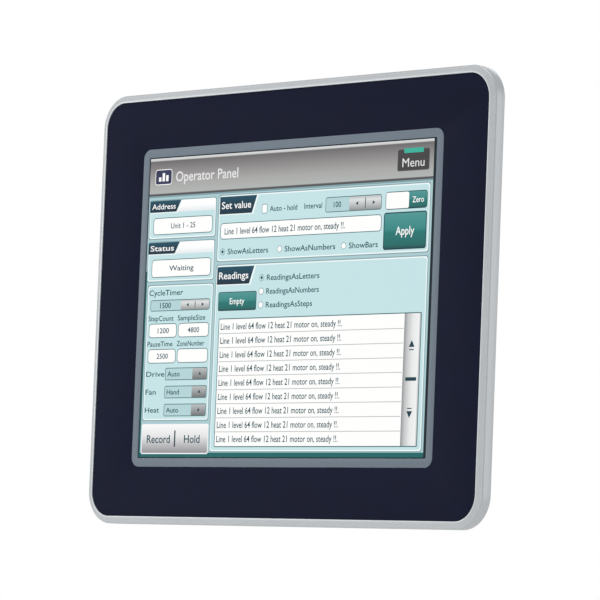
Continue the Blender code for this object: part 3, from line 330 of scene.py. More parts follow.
print("materials")
finish = {
    "grainDetail": 4.0,
    "patchDetail": 3.0,
    "mixFrom": (0.35, 0.65),  # where the second colour ends and the first is reached
    "roughFrom": (0.3, 0.7),
    "relief": 0.6,
}


def surfaceFinish(name, colour, second, roughness, metallic=0.0, grain=1.0, patch=18.0,
                  patchMix=0.35, spread=0.06, bump=0.02, lines=1, pattern="noise", **own):
    # colour with a fine grain and broader patches, both sized in millimetres. Lines is how many times
    # as fine the pattern is upwards, which draws it out into level lines
    made = bpy.data.materials.new(name)
    made.use_nodes = True
    tree = made.node_tree
    shader = tree.nodes["Principled BSDF"]
    place = addNode(tree, "ShaderNodeTexCoord")
    turned = addNode(tree, "ShaderNodeMapping", {"Scale": (1, 1, lines)}, {"Vector": place.outputs["Object"]})
    if pattern == "cells":
        fine = addNode(tree, "ShaderNodeTexVoronoi", {"Scale": 1 / (grain * mm)},
                       {"Vector": turned.outputs[0]})
        fineOut = fine.outputs["Color"]
    else:
        fine = addNode(tree, "ShaderNodeTexNoise",
                       {"Scale": 1 / (grain * mm), "Detail": finish["grainDetail"]},
                       {"Vector": turned.outputs[0]})
        fineOut = fine.outputs["Fac"]
    broad = addNode(tree, "ShaderNodeTexNoise",
                    {"Scale": 1 / (patch * mm), "Detail": finish["patchDetail"]},
                    {"Vector": turned.outputs[0]})
    grey = addNode(tree, "ShaderNodeSeparateColor", links={"Color": fineOut}).outputs["Red"]
    both = addNode(tree, "ShaderNodeMix", {"Factor": patchMix}, {2: grey, 3: broad.outputs["Fac"]})
    tint = addNode(tree, "ShaderNodeValToRGB", links={"Fac": both.outputs[0]})
    for stop, position, shade in zip(tint.color_ramp.elements, finish["mixFrom"], (second, colour)):
        stop.position, stop.color = position, linear(shade)
    rough = addNode(tree, "ShaderNodeMapRange", {
        "From Min": finish["roughFrom"][0], "From Max": finish["roughFrom"][1],
        "To Min": roughness - spread, "To Max": roughness + spread},
        {"Value": both.outputs[0]})
    relief = addNode(tree, "ShaderNodeBump", {"Strength": finish["relief"], "Distance": bump * mm},
                     {"Height": grey})
    tree.links.new(tint.outputs["Color"], shader.inputs["Base Color"])
    tree.links.new(rough.outputs["Result"], shader.inputs["Roughness"])
    tree.links.new(relief.outputs["Normal"], shader.inputs["Normal"])
    shader.inputs["Metallic"].default_value = metallic
    for socket, value in own.items():
        shader.inputs[socket.replace("_", " ")].default_value = value
    return made


# the skins of lacquer, print, plastic and rubber have a grain of 0.02 to 0.1 mm, and rolling and brush
# lines one of 0.05 mm: both are drawn several times as coarse here, since finer would not show
looks = {
    # satin lacquer over a die casting: an even soft silver, faintly mottled like orange peel
    "satin_silver": surfaceFinish("satinLacquerSilver", "C9CDD0", "C2C6CA", 0.42, metallic=0.35, grain=0.9,
        patch=35, bump=0.012),
    # matt screen print on polyester: flat dark navy with next to no sheen
    "navy_overlay": surfaceFinish("mattPrintNavy", "1B1F33", "191C2F", 0.7, grain=0.35, bump=0.006,
        Specular_IOR_Level=0.05),
    # satin screen print on the same sheet: a blue grey that catches a little light
    "grey_border": surfaceFinish("satinPrintBlueGrey", "77838F", "75818D", 0.55, grain=0.3, bump=0.004,
        Specular_IOR_Level=0.12),
    # hard-coated polyester: near black where nothing is lit behind it
    "touch_film": surfaceFinish("hardCoatFilm", "0D1E25", "0C1C22", 0.3, grain=0.5,
        Specular_IOR_Level=0.15),
    # float glass: a pale green pane, clear and mirror smooth
    "clear_glass": surfaceFinish("floatGlass", "A9C4C0", "A4C0BC", 0.06, grain=2.0, bump=0.001,
        Transmission_Weight=0.7, IOR=1.52),
    # die-cut closed-cell foam: dull charcoal with open pores along its edge
    "black_foam": surfaceFinish("closedCellFoam", "1C1D1E", "131415", 0.95, grain=0.5, bump=0.1),
    # moulded nitrile rubber: soft black, a little dusty
    "seal_rubber": surfaceFinish("nitrileRubber", "2B2D2F", "222426", 0.72, grain=0.5, bump=0.03),
    # polyimide laminate: clear amber with a thin gloss
    "flex_lead": surfaceFinish("polyimideFlex", "B5742B", "A46624", 0.35, grain=0.6, patch=6, bump=0.01,
        Coat_Weight=0.3),
    # cold-rolled steel: bright, with faint rolling lines
    "bright_steel": surfaceFinish("rolledSteel", "B9BDC0", "ADB1B5", 0.3, metallic=1.0, grain=0.5,
        lines=14, bump=0.004),
    # liquid crystal glass with its polariser: almost black and very smooth
    "dark_cell": surfaceFinish("polariserGlass", "14191D", "101418", 0.12, grain=1, bump=0.001),
    # embossed polyester film: milky white and soft
    "white_diffuser": surfaceFinish("diffuserFilm", "F0F2F1", "E9ECEB", 0.6, grain=0.4, bump=0.01),
    # cast acrylic: clear with a cool tint and polished faces
    "light_guide": surfaceFinish("castAcrylic", "E6F0EE", "E0ECEA", 0.12, grain=1.5, bump=0.002,
        Transmission_Weight=0.5),
    # phosphor-coated lamp strip: pale yellow and waxy
    "lamp_strip": surfaceFinish("phosphorStrip", "F3EBC8", "EBE2BA", 0.45, grain=1, bump=0.02),
    # bright zinc plating on turned steel: cool silver with sharp highlights
    "zinc_screw": surfaceFinish("zincPlatedSteel", "BFC2C2", "AFB4B6", 0.28, metallic=1.0, grain=0.4,
        bump=0.006),
    # solder mask on glass-fibre board: deep green under a thin gloss
    "green_board": surfaceFinish("solderMaskGreen", "1F5B3A", "194E31", 0.38, grain=1.2, patch=9,
        bump=0.02, Coat_Weight=0.25),
    # moulded epoxy: matt charcoal with a fine spark-eroded grain
    "black_chip": surfaceFinish("mouldedEpoxy", "1D1E20", "161719", 0.55, grain=0.25, bump=0.01),
    # black anodised extruded aluminium: a metal sheen in lines along the fins
    "black_sink": surfaceFinish("anodisedAluminium", "222325", "191A1C", 0.45, metallic=0.8, grain=0.3,
        lines=8, bump=0.01),
    # moulded glass-filled nylon: black, faintly streaked by its fibres
    "black_socket": surfaceFinish("glassFilledNylon", "202123", "17181A", 0.5, grain=0.4, bump=0.012),
    # moulded polyamide: clear mid green, lightly waxy
    "green_plug": surfaceFinish("polyamideGreen", "2E8B4E", "277C45", 0.42, grain=0.5, bump=0.012),
    # moulded ABS with a textured skin: plain grey
    "grey_door": surfaceFinish("texturedAbs", "5C6267", "54595E", 0.5, grain=0.35, bump=0.02),
    # moulded acetal: warm white and slippery looking
    "white_lever": surfaceFinish("acetalWhite", "ECECE6", "E2E2DA", 0.35, grain=0.5, bump=0.006),
    # hot-dip galvanised sheet: broad crystals of slightly different grey
    "zinc_sheet": surfaceFinish("galvanisedSheet", "A6ABAE", "9CA1A5", 0.4, metallic=1.0, grain=7,
        patch=30, pattern="cells", bump=0.003, spread=0.08),
    # electro-galvanised sheet, brushed: even pale grey with fine level lines
    "cover_sheet": surfaceFinish("brushedZincSheet", "B4B8BB", "A8ADB1", 0.38, metallic=1.0, grain=0.7,
        lines=20, bump=0.004),
    # zinc die casting, tumbled: dull mid grey with a slightly rough skin
    "clamp_cast": surfaceFinish("tumbledZincCasting", "8E9295", "7E8286", 0.5, metallic=0.9, grain=0.8,
        bump=0.03),
    # turned brass: warm yellow metal with crisp highlights
    "brass_stud": surfaceFinish("turnedBrass", "C9A75A", "B8964B", 0.25, metallic=1.0, grain=0.3,
        bump=0.005),
}
# seamless studio paper: pale and quite matt
paper = surfaceFinish("studioPaper", room["floorColour"], "EEEEEC", 0.95, grain=2, bump=0.02)
floor.data.materials.append(paper)

# CAD nodes by the slot that they fill
slotOfNode = {
    "satin_silver": ["front_bezel"], "navy_overlay": ["front_overlay"], "grey_border": ["window_border"],
    "touch_film": ["touch_film"], "clear_glass": ["touch_glass"], "black_foam": ["touch_gasket"],
    "seal_rubber": ["panel_gasket"], "flex_lead": ["touch_tail"],
    "bright_steel": ["lcd_front_frame", "lcd_rear_tray", "display_bracket_left", "display_bracket_right",
                     "mounting_plate", "network_port", "usb_port", "serial_port_1", "serial_port_2"],
    "dark_cell": ["lcd_cell"], "white_diffuser": ["diffuser_sheet"], "light_guide": ["light_guide"],
    "lamp_strip": ["backlight_bar"],
    "zinc_screw": ["bracket_screw_left", "bracket_screw_right", "coin_cell"]
    + [f"{kind}_screw_{i}" for kind in ("cover", "housing", "clamp") for i in (1, 2, 3, 4)],
    "green_board": ["main_board", "backlight_driver"], "black_chip": ["processor"],
    "black_sink": ["heatsink"], "green_plug": ["power_plug"], "grey_door": ["card_door"],
    "black_socket": ["battery_holder", "buzzer", "power_header", "card_slot", "dip_switch", "reset_switch"],
    "white_lever": ["dip_lever_1", "dip_lever_2", "reset_button"], "zinc_sheet": ["rear_housing"],
    "cover_sheet": ["rear_cover", "io_plate"], "clamp_cast": [f"clamp_body_{i}" for i in (1, 2, 3, 4)],
    "brass_stud": ["earth_stud"],
}
for slotName, members in slotOfNode.items():
    for member in members:
        paint(nodes[member], looks[slotName])


def slotNameOf(node):
    return next(name for name, members in slotOfNode.items() if node in members)


print("front frame")
bezel = {
    "corner": 17.4 * mm,
    "depth": 7.5 * mm,
    "rim": 4.0 * mm,
    "edgeRound": 1.1 * mm,  # between the sloped rim and the side wall
    "slopeDrop": 0.9 * mm,
    "slopeParts": ((0.55, 0.62), (0.45, 0.38)),  # shares of the slope's width and of its drop
    "lipWidth": 0.6 * mm,
    "lipDrops": (0.03 * mm, 0.12 * mm),
    "recess": 1.6 * mm,  # from the lip to the floor that carries the navy sheet
    "floorWidth": 9.0 * mm,
    "backEdge": 0.6 * mm,
    "sealLand": 0.3 * mm,
    "backRecess": 1.2 * mm,
    "backFloor": 7.6 * mm,
    "coreInset": 13.0 * mm,  # the plain core starts under the worked frame
    "broadArea": 0.01,  # square metres, less than the front or back face and more than any step
    "segments": 20,
    "roundSteps": 5,
}
draft = 0.02 * mm  # sideways lean of a recess's wall


def roundProfile(radius, steps):
    # inwards and forwards steps that turn a side wall into a face through a quarter circle
    found = []
    for i in range(steps):
        a, b = i * math.pi / 2 / steps, (i + 1) * math.pi / 2 / steps
        found.append((radius * (math.cos(a) - math.cos(b)), radius * (math.sin(b) - math.sin(a))))
    return found


def roundedSlab(name, low, high, corner, segments=16):
    # a plate that faces -Y, with round corners
    item = addBox(name, low, high)
    bevelEdges(item, lambda edge: along(edge, 1), corner, segments)
    return item


def isBroad(face, sign):
    return facing(face, 1, sign) and face.calc_area() > bezel["broadArea"]


def buildBezel():
    low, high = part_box("front_bezel")
    front = low.y + bezel["edgeRound"] + bezel["slopeDrop"]
    item = roundedSlab("bezel_frame", (low.x, front, low.z), (high.x, low.y + bezel["depth"], high.z),
                       bezel["corner"], bezel["segments"])
    # rounded edge, the slope that runs on from it, the lip and the recess inside the lip
    slope = bezel["rim"] - bezel["edgeRound"] - bezel["lipWidth"]
    lip = bezel["lipWidth"] / 4
    steps = roundProfile(bezel["edgeRound"], bezel["roundSteps"])
    steps += [(slope * wide, bezel["slopeDrop"] * deep) for wide, deep in bezel["slopeParts"]]
    steps += [(lip * 2, 0.0)] + [(lip, -drop) for drop in bezel["lipDrops"]]
    steps += [(draft, -bezel["recess"]), (bezel["floorWidth"], 0.0)]
    insetFaces(item, lambda face: facing(face, 1, -1), steps)
    shaped(item, "FACE", lambda face: isBroad(face, 1), bpy.ops.mesh.bevel, offset=bezel["backEdge"],
           segments=3, affect="EDGES")
    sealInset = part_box("panel_gasket")[0].x - low.x
    insetFaces(item, lambda face: isBroad(face, 1), [
        (sealInset - bezel["backEdge"] - bezel["sealLand"], 0.0), (draft, -bezel["backRecess"]),
        (bezel["backFloor"], 0.0)])
    # the middle opens from front to back
    openForEdit(item, "FACE", lambda face: isBroad(face, 1) or isBroad(face, -1))
    bpy.ops.mesh.delete(type="FACE")
    bpy.ops.mesh.select_mode(type="EDGE")
    bpy.ops.mesh.select_non_manifold()
    bpy.ops.mesh.bridge_edge_loops()
    closeEdit()
    smooth(item, 25)
    core = cadCopy("bezel_core", "front_bezel")
    for axis, sign in ((0, 1), (0, -1), (2, 1), (2, -1)):
        place, way = [0, 0, 0], [0, 0, 0]
        place[axis] = ((high[axis] - low[axis]) / 2 - bezel["coreInset"]) * sign
        way[axis] = sign
        shaped(core, "FACE", lambda face: True, bpy.ops.mesh.bisect, plane_co=place, plane_no=way,
               use_fill=True, clear_outer=True)
    smooth(core, 25)
    placePiece("bezel_casting", [item, core], "satin_silver", node="front_bezel")


buildBezel()

sheets = {
    "overlayCorner": 13.4 * mm,
    "windowCorner": 5.1 * mm,
    "filmCorner": 0.6 * mm,
    "gap": 0.15 * mm,  # round the piece that fills a window
    "edge": 0.08 * mm,
    "holeSegments": 10,
}


def frameSheet(name, node, corner, holeNode, holeCorner):
    # a thin sheet with a rounded outline and a rounded window
    low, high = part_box(node)
    item = roundedSlab(name, low, high, corner)
    holeLow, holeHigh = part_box(holeNode)
    grow = Vector((sheets["gap"], 2 * mm, sheets["gap"]))  # and well past both faces
    cutOut(item, roundedSlab("cutter", holeLow - grow, holeHigh + grow, holeCorner + sheets["gap"],
                             sheets["holeSegments"]))
    applyModifier(item, "BEVEL", width=sheets["edge"], segments=2, limit_method="ANGLE",
                  angle_limit=math.radians(40))
    smooth(item, 25)
    placePiece(name, [item], slotNameOf(node), node=node)


frameSheet("overlay_sheet", "front_overlay", sheets["overlayCorner"],
           "window_border", sheets["windowCorner"])
frameSheet("border_print", "window_border", sheets["windowCorner"], "touch_film", sheets["filmCorner"])

print("picture on the display")
picture = {
    "edge": 0.45 * mm,  # film outside the lit picture
    "step": 0.02 * mm,  # between one layer and the next, so that none of them flicker
    "layers": 8,
    "ink": 0.01 * mm,  # thickness of a pane or letter
    "filmCorner": 0.5 * mm,
    "paintedShadeStrip": 1.5,  # painted shade: the lit picture stops this far short of the right edge, so a strip of dark film stands for the shadow beside the recess wall, in millimetres
    "glow": 1.0,
    "capHeight": 0.69,  # of a capital letter, as a share of the type size
    "bold": 0.009,  # a bolder cut, which closes up an M
    "nearCorner": 0.1 * mm,
    "leastCorner": 0.2,
    "listLine": "Line 1 level 64 flow 12 heat 21 motor on, steady !!.",
}
filmLow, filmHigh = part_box("touch_film")
pictureWidth = (filmHigh.x - filmLow.x - 2 * picture["edge"]) / mm
pictureHeight = (filmHigh.z - filmLow.z - 2 * picture["edge"]) / mm
# the lit picture ends short of the film's right edge, leaving a strip of dark film as painted shade
pictureRight = pictureWidth - picture["paintedShadeStrip"]
plainInks = {
    "surround": "0D1E25", "page": "A9C9CE", "pane": "C3E1E4", "paneEdge": "F2FAFA", "shade": "7D9DA2",
    "fieldEdge": "3E686E", "paper": "FCFCFB", "title": "E6E6E8", "rule": "B4B9BA", "ink": "044650",
    "buttonFace": "403E3E", "buttonEdge": "5A5A5A", "mint": "35AE98", "tealLine": "136364",
    "deepTeal": "0E3A44", "cyanField": "B2D2D5", "badge": "2A2F52", "barEdge": "F4F6F7",
}
# place and colour of each stop, from the bottom of a pane to its top, and for the scroll bar across it
shadedInks = {
    "header": ((0.0, "4A484B"), (0.045, "555356"), (0.07, "AEB2B0"), (0.3, "A8A8A6"), (0.6, "8F8C8C"),
               (0.92, "6A6868"), (0.945, "C9CACB"), (1.0, "DADADB")),
    "tag": ((0.0, "06293A"), (0.5, "0A3648"), (1.0, "124A5E")),
    "bar": ((0.0, "908E92"), (0.3, "BBBBBD"), (0.6, "E4E4E5"), (1.0, "F8F7F8")),
    "greyKey": ((0.0, "8E9192"), (0.3, "B4B6B6"), (0.75, "DDDFDF"), (1.0, "B9BCBC")),
    "darkKey": ((0.0, "6F7272"), (0.4, "909393"), (1.0, "B9BCBC")),
    "tealKey": ((0.0, "174B4B"), (0.1, "1B6763"), (0.45, "1F736E"), (0.55, "358581"), (1.0, "4D9592")),
    "scroll": ((0.0, "8A8D8E"), (0.2, "BFC1C2"), (0.55, "E6E7E7"), (0.9, "EFEFF0"), (1.0, "A0A3A4")),
    "strip": ((0.0, "E3E9EC"), (0.5, "FAFAFB"), (1.0, "FFFFFF")),
}


def litInk(name, colour):
    # one lamp-lit colour of the liquid crystal picture, under a faint haze of the film
    return surfaceFinish("lit" + name[0].upper() + name[1:], "0E1011", "0B0D0E", 0.32, grain=0.6, bump=0.0,
                         Specular_IOR_Level=0.06, Emission_Color=linear(colour),
                         Emission_Strength=picture["glow"])


def shadedInk(name, stops):
    made = litInk(name, stops[0][1])
    tree = made.node_tree
    sheet = addNode(tree, "ShaderNodeUVMap", {"uv_map": "UVMap"})
    split = addNode(tree, "ShaderNodeSeparateXYZ", links={"Vector": sheet.outputs[0]})
    ramp = addNode(tree, "ShaderNodeValToRGB", links={"Fac": split.outputs["X" if name == "scroll" else "Y"]})
    marks = ramp.color_ramp.elements
    while len(marks) < len(stops):
        marks.new(0.5)
    for i, (position, colour) in enumerate(stops):
        marks[i].position = position
    for i, (position, colour) in enumerate(stops):
        marks[i].color = linear(colour)
    tree.links.new(ramp.outputs["Color"], tree.nodes["Principled BSDF"].inputs["Emission Color"])
    return made


inks = {name: litInk(name, colour) for name, colour in plainInks.items()}
inks.update({name: shadedInk(name, stops) for name, stops in shadedInks.items()})
panes, letters = [], []
facingFront = (math.pi / 2, 0, 0)  # turn that stands a flat shape up, seen from -Y


def spot(x, y, layer):
    # a place on the picture, in millimetres from its top left corner
    return Vector((filmLow.x + picture["edge"] + x * mm,
                   filmLow.y + (picture["layers"] - layer) * picture["step"],
                   filmHigh.z - picture["edge"] - y * mm))


def layInk(item, ink):
    # sheet coordinates run from 0 to 1 over the whole pane
    xs, zs = ([v.co[axis] for v in item.data.vertices] for axis in (0, 2))
    sheet = item.data.uv_layers.active or item.data.uv_layers.new(name="UVMap")
    for loop in item.data.loops:
        place = item.data.vertices[loop.vertex_index].co
        sheet.data[loop.index].uv = ((place.x - min(xs)) / (max(xs) - min(xs)),
                                     (place.z - min(zs)) / (max(zs) - min(zs)))
    paint(item, inks[ink])
    panes.append(item)


def pane(left, top, right, bottom, layer, ink, corner=0.0, slant=0.0):
    bpy.ops.object.select_all(action="DESELECT")
    bpy.ops.mesh.primitive_plane_add(
        size=1, location=spot((left + right) / 2, (top + bottom) / 2, layer), rotation=facingFront)
    item = bpy.context.object
    item.scale = ((right - left) * mm, (bottom - top) * mm, 1)
    settle(item)
    if slant:
        foot = spot(right, bottom, layer)
        shaped(item, "VERT", lambda v: (v.co - foot).length < picture["nearCorner"],
               bpy.ops.transform.translate, value=(-slant * mm, 0, 0))
    if corner:
        shaped(item, "VERT", lambda v: True, bpy.ops.mesh.bevel, offset=corner * mm, segments=3,
               affect="VERTICES")
    layInk(item, ink)


def field(left, top, right, bottom, ink="paper", edge="fieldEdge", line=0.4, corner=2.0, layer=5):
    # an outlined box: a pane with a slightly smaller one before it
    pane(left, top, right, bottom, layer, edge, corner)
    pane(left + line, top + line, right - line, bottom - line, layer + 1, ink,
         max(corner - line, picture["leastCorner"]))


def mark(x, y, radius, layer, ink, sides=3, turn=0.0):
    # an arrow head, or a dot with more sides. Turn is clockwise from straight up
    bpy.ops.object.select_all(action="DESELECT")
    bpy.ops.mesh.primitive_circle_add(vertices=sides, radius=radius * mm, fill_type="NGON",
                                      location=spot(x, y, layer), rotation=(facingFront[0], turn, 0))
    item = bpy.context.object
    settle(item)
    layInk(item, ink)


def lettering(text, left, middle, width, capital, ink="ink", layer=7):
    # words drawn to an exact width, with their capitals centred on a height
    bpy.ops.object.select_all(action="DESELECT")
    bpy.ops.object.text_add()
    item = bpy.context.object
    item.data.body = text
    item.data.resolution_u = 3
    item.data.offset = 0.0 if "M" in text else picture["bold"]
    bpy.ops.object.convert(target="MESH")
    item = bpy.context.object
    across = [v.co.x for v in item.data.vertices]
    stretch = width * mm / (max(across) - min(across))
    rise = capital * mm / picture["capHeight"]
    item.scale = (stretch, rise, 1)
    item.rotation_euler = facingFront
    item.location = spot(left, middle + capital / 2, layer) - Vector((min(across) * stretch, 0, 0))
    settle(item)
    paint(item, inks[ink])
    letters.append(item)
    return item


def spinBox(left, top, split, right, bottom, value, wide):
    # a value with a pair of step keys in one outline
    field(left, top, right, bottom, "cyanField", corner=1.3)
    pane(split, top + 0.4, right - 0.4, bottom - 0.4, 7, "greyKey", 0.7)
    middle = (split + right) / 2
    pane(middle - 0.25, top + 1.3, middle + 0.25, bottom - 1.3, 8, "deepTeal")
    for x, turn in (((split + middle) / 2, -math.pi / 2), ((middle + right) / 2, math.pi / 2)):
        mark(x, (top + bottom) / 2, 1.15, 8, "deepTeal", turn=turn)
    lettering(value, (left + split) / 2 - wide / 2, (top + bottom) / 2, wide, 2.8)


def dropBox(left, top, split, right, bottom, value, wide):
    field(left, top, right, bottom, "cyanField", corner=0.9)
    pane(split, top + 0.4, right - 0.4, bottom - 0.4, 7, "darkKey", 0.6)
    mark((split + right) / 2, (top + bottom) / 2, 1.15, 8, "deepTeal")
    lettering(value, left + 1.8, (top + bottom) / 2, wide, 2.6)


def group(left, top, right, bottom, corner=1.4):
    # a pane on the page, with a white line round it and a soft shade outside
    for layer, ink, inset in ((2, "shade", -0.5), (3, "paneEdge", 0.0), (4, "pane", 0.6)):
        pane(left + inset, top + inset, right - inset, bottom - inset, layer, ink, corner)


def tag(text, left, top, right, bottom, capital):
    pane(left, top, right + 1.2, bottom + 0.5, 5, "paneEdge", 0.0, 3.8)
    pane(left, top, right, bottom, 6, "tag", 0.0, 3.6)
    lettering(text, left + 1.5, (top + bottom) / 2, right - left - 5.8, capital, "paper")


def choice(text, x, y, width, chosen, capital=2.9):
    # a round choice button and its words
    mark(x, y, 1.85, 5, "shade", 20)
    mark(x, y, 1.5, 6, "pane" if chosen else "paper", 20)
    if chosen:
        mark(x, y, 0.85, 7, "ink", 12)
    lettering(text, x + 3.8, y, width, capital)


def drawHeader():
    pane(0, 0, pictureRight, 20.0, 2, "header")
    pane(0, 20.0, pictureRight, 20.9, 2, "shade")
    field(4.2, 5.9, 17.3, 14.2, "badge", "paper", 0.4, 1.6, 3)
    for i, height in enumerate((2.2, 4.4, 3.2)):  # a plain bar chart
        pane(7.0 + 2.8 * i, 12.3 - height, 8.9 + 2.8 * i, 12.3, 5, "paper")
    lettering("Operator Panel", 20.4, 10.2, 48.0, 5.2, "title")
    field(184.5, 4.4, 206.8, 15.4, "buttonFace", "buttonEdge", 0.4, 1.0, 3)
    pane(189.0, 4.0, 202.6, 6.4, 5, "mint", 0.4)
    lettering("Menu", 188.0, 11.2, 15.4, 4.4, "title")


def drawLeftColumn():
    for top, bottom, words, value in ((22.7, 42.7, "Address", "Unit 1 - 25"),
                                      (44.9, 65.4, "Status", "Waiting")):
        group(1.2, top, 52.2, bottom, 1.2)
        pane(1.2, top, 51.8, top + 6.3, 5, "strip", 0.8)
        tag(words, 1.2, top, 25.4, top + 6.1, 2.8)
        field(4.2, top + 9.0, 50.2, bottom - 1.9)
        lettering(value, 18.0, (top + 9.0 + bottom - 1.9) / 2, 19.0, 2.8)
    group(2.2, 67.8, 52.4, 138.9)
    lettering("CycleTimer", 3.3, 71.6, 26.4, 2.9)
    spinBox(4.5, 75.4, 28.2, 50.6, 81.4, "1500", 8.6)
    for left, top, wide, words, value in (
            (4.0, 83.2, 21.8, "StepCount", "1200"), (26.9, 83.2, 23.7, "SampleSize", "4800"),
            (4.0, 96.7, 21.8, "PauseTime", "2500"), (26.9, 96.7, 23.7, "ZoneNumber", "")):
        lettering(words, left - 0.6, top + 2.0, wide * 0.9, 2.7)
        field(left, top + 4.7, left + wide, top + 12.3)
        if value:
            lettering(value, left + wide * 0.32, top + 8.5, 8.8, 2.7)
    for i, (words, value) in enumerate((("Drive", "Auto"), ("Fan", "Hand"), ("Heat", "Auto"))):
        top = 111.4 + 9.5 * i
        lettering(words, 3.4, top + 3.2, 3.1 * len(words) - 1.2, 2.7)
        dropBox(18.2, top, 39.4, 50.8, top + 6.6, value, 9.6)
    pane(1.6, 141.0, 53.4, 156.8, 3, "barEdge", 1.0)
    pane(2.1, 141.4, 52.9, 156.2, 4, "bar", 0.8)
    lettering("Record", 6.0, 148.9, 18.0, 4.1)
    lettering("Hold", 35.0, 148.9, 12.0, 4.1)
    pane(27.2, 144.4, 28.2, 153.0, 5, "deepTeal")


def drawUpperGroup():
    group(54.8, 22.0, 208.0, 56.2)
    tag("Set value", 55.4, 22.6, 83.4, 31.8, 3.6)
    field(87.3, 27.6, 91.4, 32.6, "paper", "shade", 0.4, 0.4)
    lettering("Auto - hold", 93.2, 30.2, 20.4, 2.8)
    lettering("Interval", 118.8, 30.0, 13.0, 2.8)
    spinBox(134.2, 26.2, 151.4, 174.4, 34.0, "100", 5.4)
    field(177.2, 25.4, 206.4, 34.4, "tealKey", "deepTeal", 0.4, 1.6)
    pane(177.6, 25.8, 193.6, 34.0, 7, "paper", 1.0)
    lettering("Zero", 196.0, 29.9, 8.0, 2.9, "paper")
    field(56.5, 36.4, 174.8, 45.0)
    lettering(picture["listLine"], 59.8, 40.8, 89.0, 3.3)
    field(176.4, 35.8, 206.4, 54.6, "tealKey", "deepTeal", 0.6, 1.4)
    lettering("Apply", 185.0, 45.2, 13.0, 4.2, "paper")
    choice("ShowAsLetters", 58.8, 51.4, 30.6, True)
    choice("ShowAsNumbers", 101.6, 51.4, 37.0, False)
    choice("ShowBars", 148.4, 51.4, 20.6, False)


def drawLowerGroup():
    listTop, rowHeight, rows = 86.9, 7.3, 9
    listBottom = listTop + rowHeight * rows
    group(54.8, 58.6, 208.0, 155.3)
    tag("Readings", 55.4, 59.4, 83.4, 68.6, 3.6)
    field(57.0, 72.5, 85.8, 82.4, "tealKey", "deepTeal", 0.4, 1.0)
    lettering("Empty", 65.8, 77.4, 11.0, 3.1, "paper")
    for i, words in enumerate(("ReadingsAsLetters", "ReadingsAsNumbers", "ReadingsAsSteps")):
        choice(words, 89.2, 65.8 + 7.05 * i, 2.28 * len(words), i == 0)
    field(58.0, listTop - 0.6, 205.4, listBottom + 0.6, "paper", "fieldEdge", 0.5, 0.8)
    first = lettering(picture["listLine"], 59.8, listTop + rowHeight / 2, 89.5, 3.3)
    for i in range(1, rows):
        pane(58.8, listTop + rowHeight * i - 0.2, 193.2, listTop + rowHeight * i + 0.2, 7, "rule")
        line = first.copy()
        line.data = first.data.copy()
        scene.collection.objects.link(line)
        line.location.z = -rowHeight * mm * i
        settle(line)
        letters.append(line)
    pane(193.6, listTop - 0.1, 204.9, listBottom + 0.1, 7, "scroll")
    for y, turn, line in ((102.4, 0.0, 104.9), (136.6, math.pi, 134.1)):
        mark(199.2, y, 2.3, 8, "deepTeal", 3, turn)
        pane(197.6, line - 0.25, 200.8, line + 0.25, 8, "deepTeal")
    pane(195.6, 118.6, 203.2, 120.4, 8, "deepTeal", 0.3)


def buildPicture():
    behindInk = Vector((0, picture["layers"] * picture["step"], 0))
    slab = roundedSlab("display_film", filmLow + behindInk, filmHigh, picture["filmCorner"], 4)
    smooth(slab, 25)
    placePiece("display_film", [slab], "touch_film", node="touch_film", material=inks["surround"])
    pane(0, 0, pictureRight, pictureHeight, 1, "page", 0.4)
    pane(0, 156.0, pictureRight, pictureHeight, 2, "tealLine")
    pane(0, 60.0, 0.9, pictureHeight, 2, "tealLine")
    drawHeader()
    drawLeftColumn()
    drawUpperGroup()
    drawLowerGroup()
    for name, items in (("display_panes", panes), ("display_lettering", letters)):
        made = joined(name, items)
        # each pane has a thickness, which is kept under one step
        applyModifier(made, "SOLIDIFY", thickness=picture["ink"], offset=-1)
        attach(made, "panel")


buildPicture()

print("housings and sheets")
edges = {
    "sheet": 0.15 * mm,  # deburred sheet metal and small mouldings
    "moulding": 0.3 * mm,
    "casting": 0.5 * mm,
    "board": 0.08 * mm,
    "lead": 0.04 * mm,
}
# the plainer pieces are copies of the CAD solids with worked edges: node and piece by kind of edge
plainPieces = {
    "sheet": {
        "rear_housing": "housing_shell", "rear_cover": "cover_plate", "io_plate": "socket_plate",
        "mounting_plate": "board_carrier", "lcd_front_frame": "display_frame",
        "lcd_rear_tray": "display_tray", "display_bracket_left": "bracket_left",
        "display_bracket_right": "bracket_right", "touch_glass": "glass_pane",
        "light_guide": "guide_plate", "touch_gasket": "glass_seal", "processor": "processor_case",
        "battery_holder": "cell_holder", "coin_cell": "button_cell", "heatsink": "fin_block",
        "power_header": "header_shroud", "network_port": "network_shell", "dip_switch": "dip_block",
        "reset_switch": "reset_block", "card_door": "card_door_moulding",
        "power_plug": "power_plug_moulding", "dip_lever_1": "dip_lever_1_moulding",
        "dip_lever_2": "dip_lever_2_moulding"},
    "moulding": {"panel_gasket": "door_seal", "buzzer": "buzzer_case",
                 "reset_button": "reset_button_moulding"},
    "casting": {f"clamp_body_{i}": f"clamp_casting_{i}" for i in (1, 2, 3, 4)},
    "board": {"lcd_cell": "crystal_cell", "diffuser_sheet": "diffuser_film", "card_slot": "card_reader",
              "usb_port": "usb_shell", "main_board": "board_laminate", "backlight_bar": "lamp_bar"},
    "lead": {"touch_tail": "touch_lead"},
}
movingNodes = ["card_door", "power_plug", "dip_lever_1", "dip_lever_2", "reset_button"]
for kind, pieces in plainPieces.items():
    for node, name in pieces.items():
        item = cadCopy(name, node)
        softenEdges(item, edges[kind])
        placePiece(name, [item], slotNameOf(node), node if node in movingNodes else "panel", node)

print("screws")
thread = {
    "steps": 28,
    "depth": 0.61,  # this and the next two are shares of the pitch
    "crest": 0.125,
    "foot": 0.98,
    "sunk": 0.1 * mm,  # ridge's foot inside the core
    "lap": 0.01 * mm,
    "tip": 0.25 * mm,
    "neck": 0.85,  # plain part of a screw, as a share of its shank's radius
}


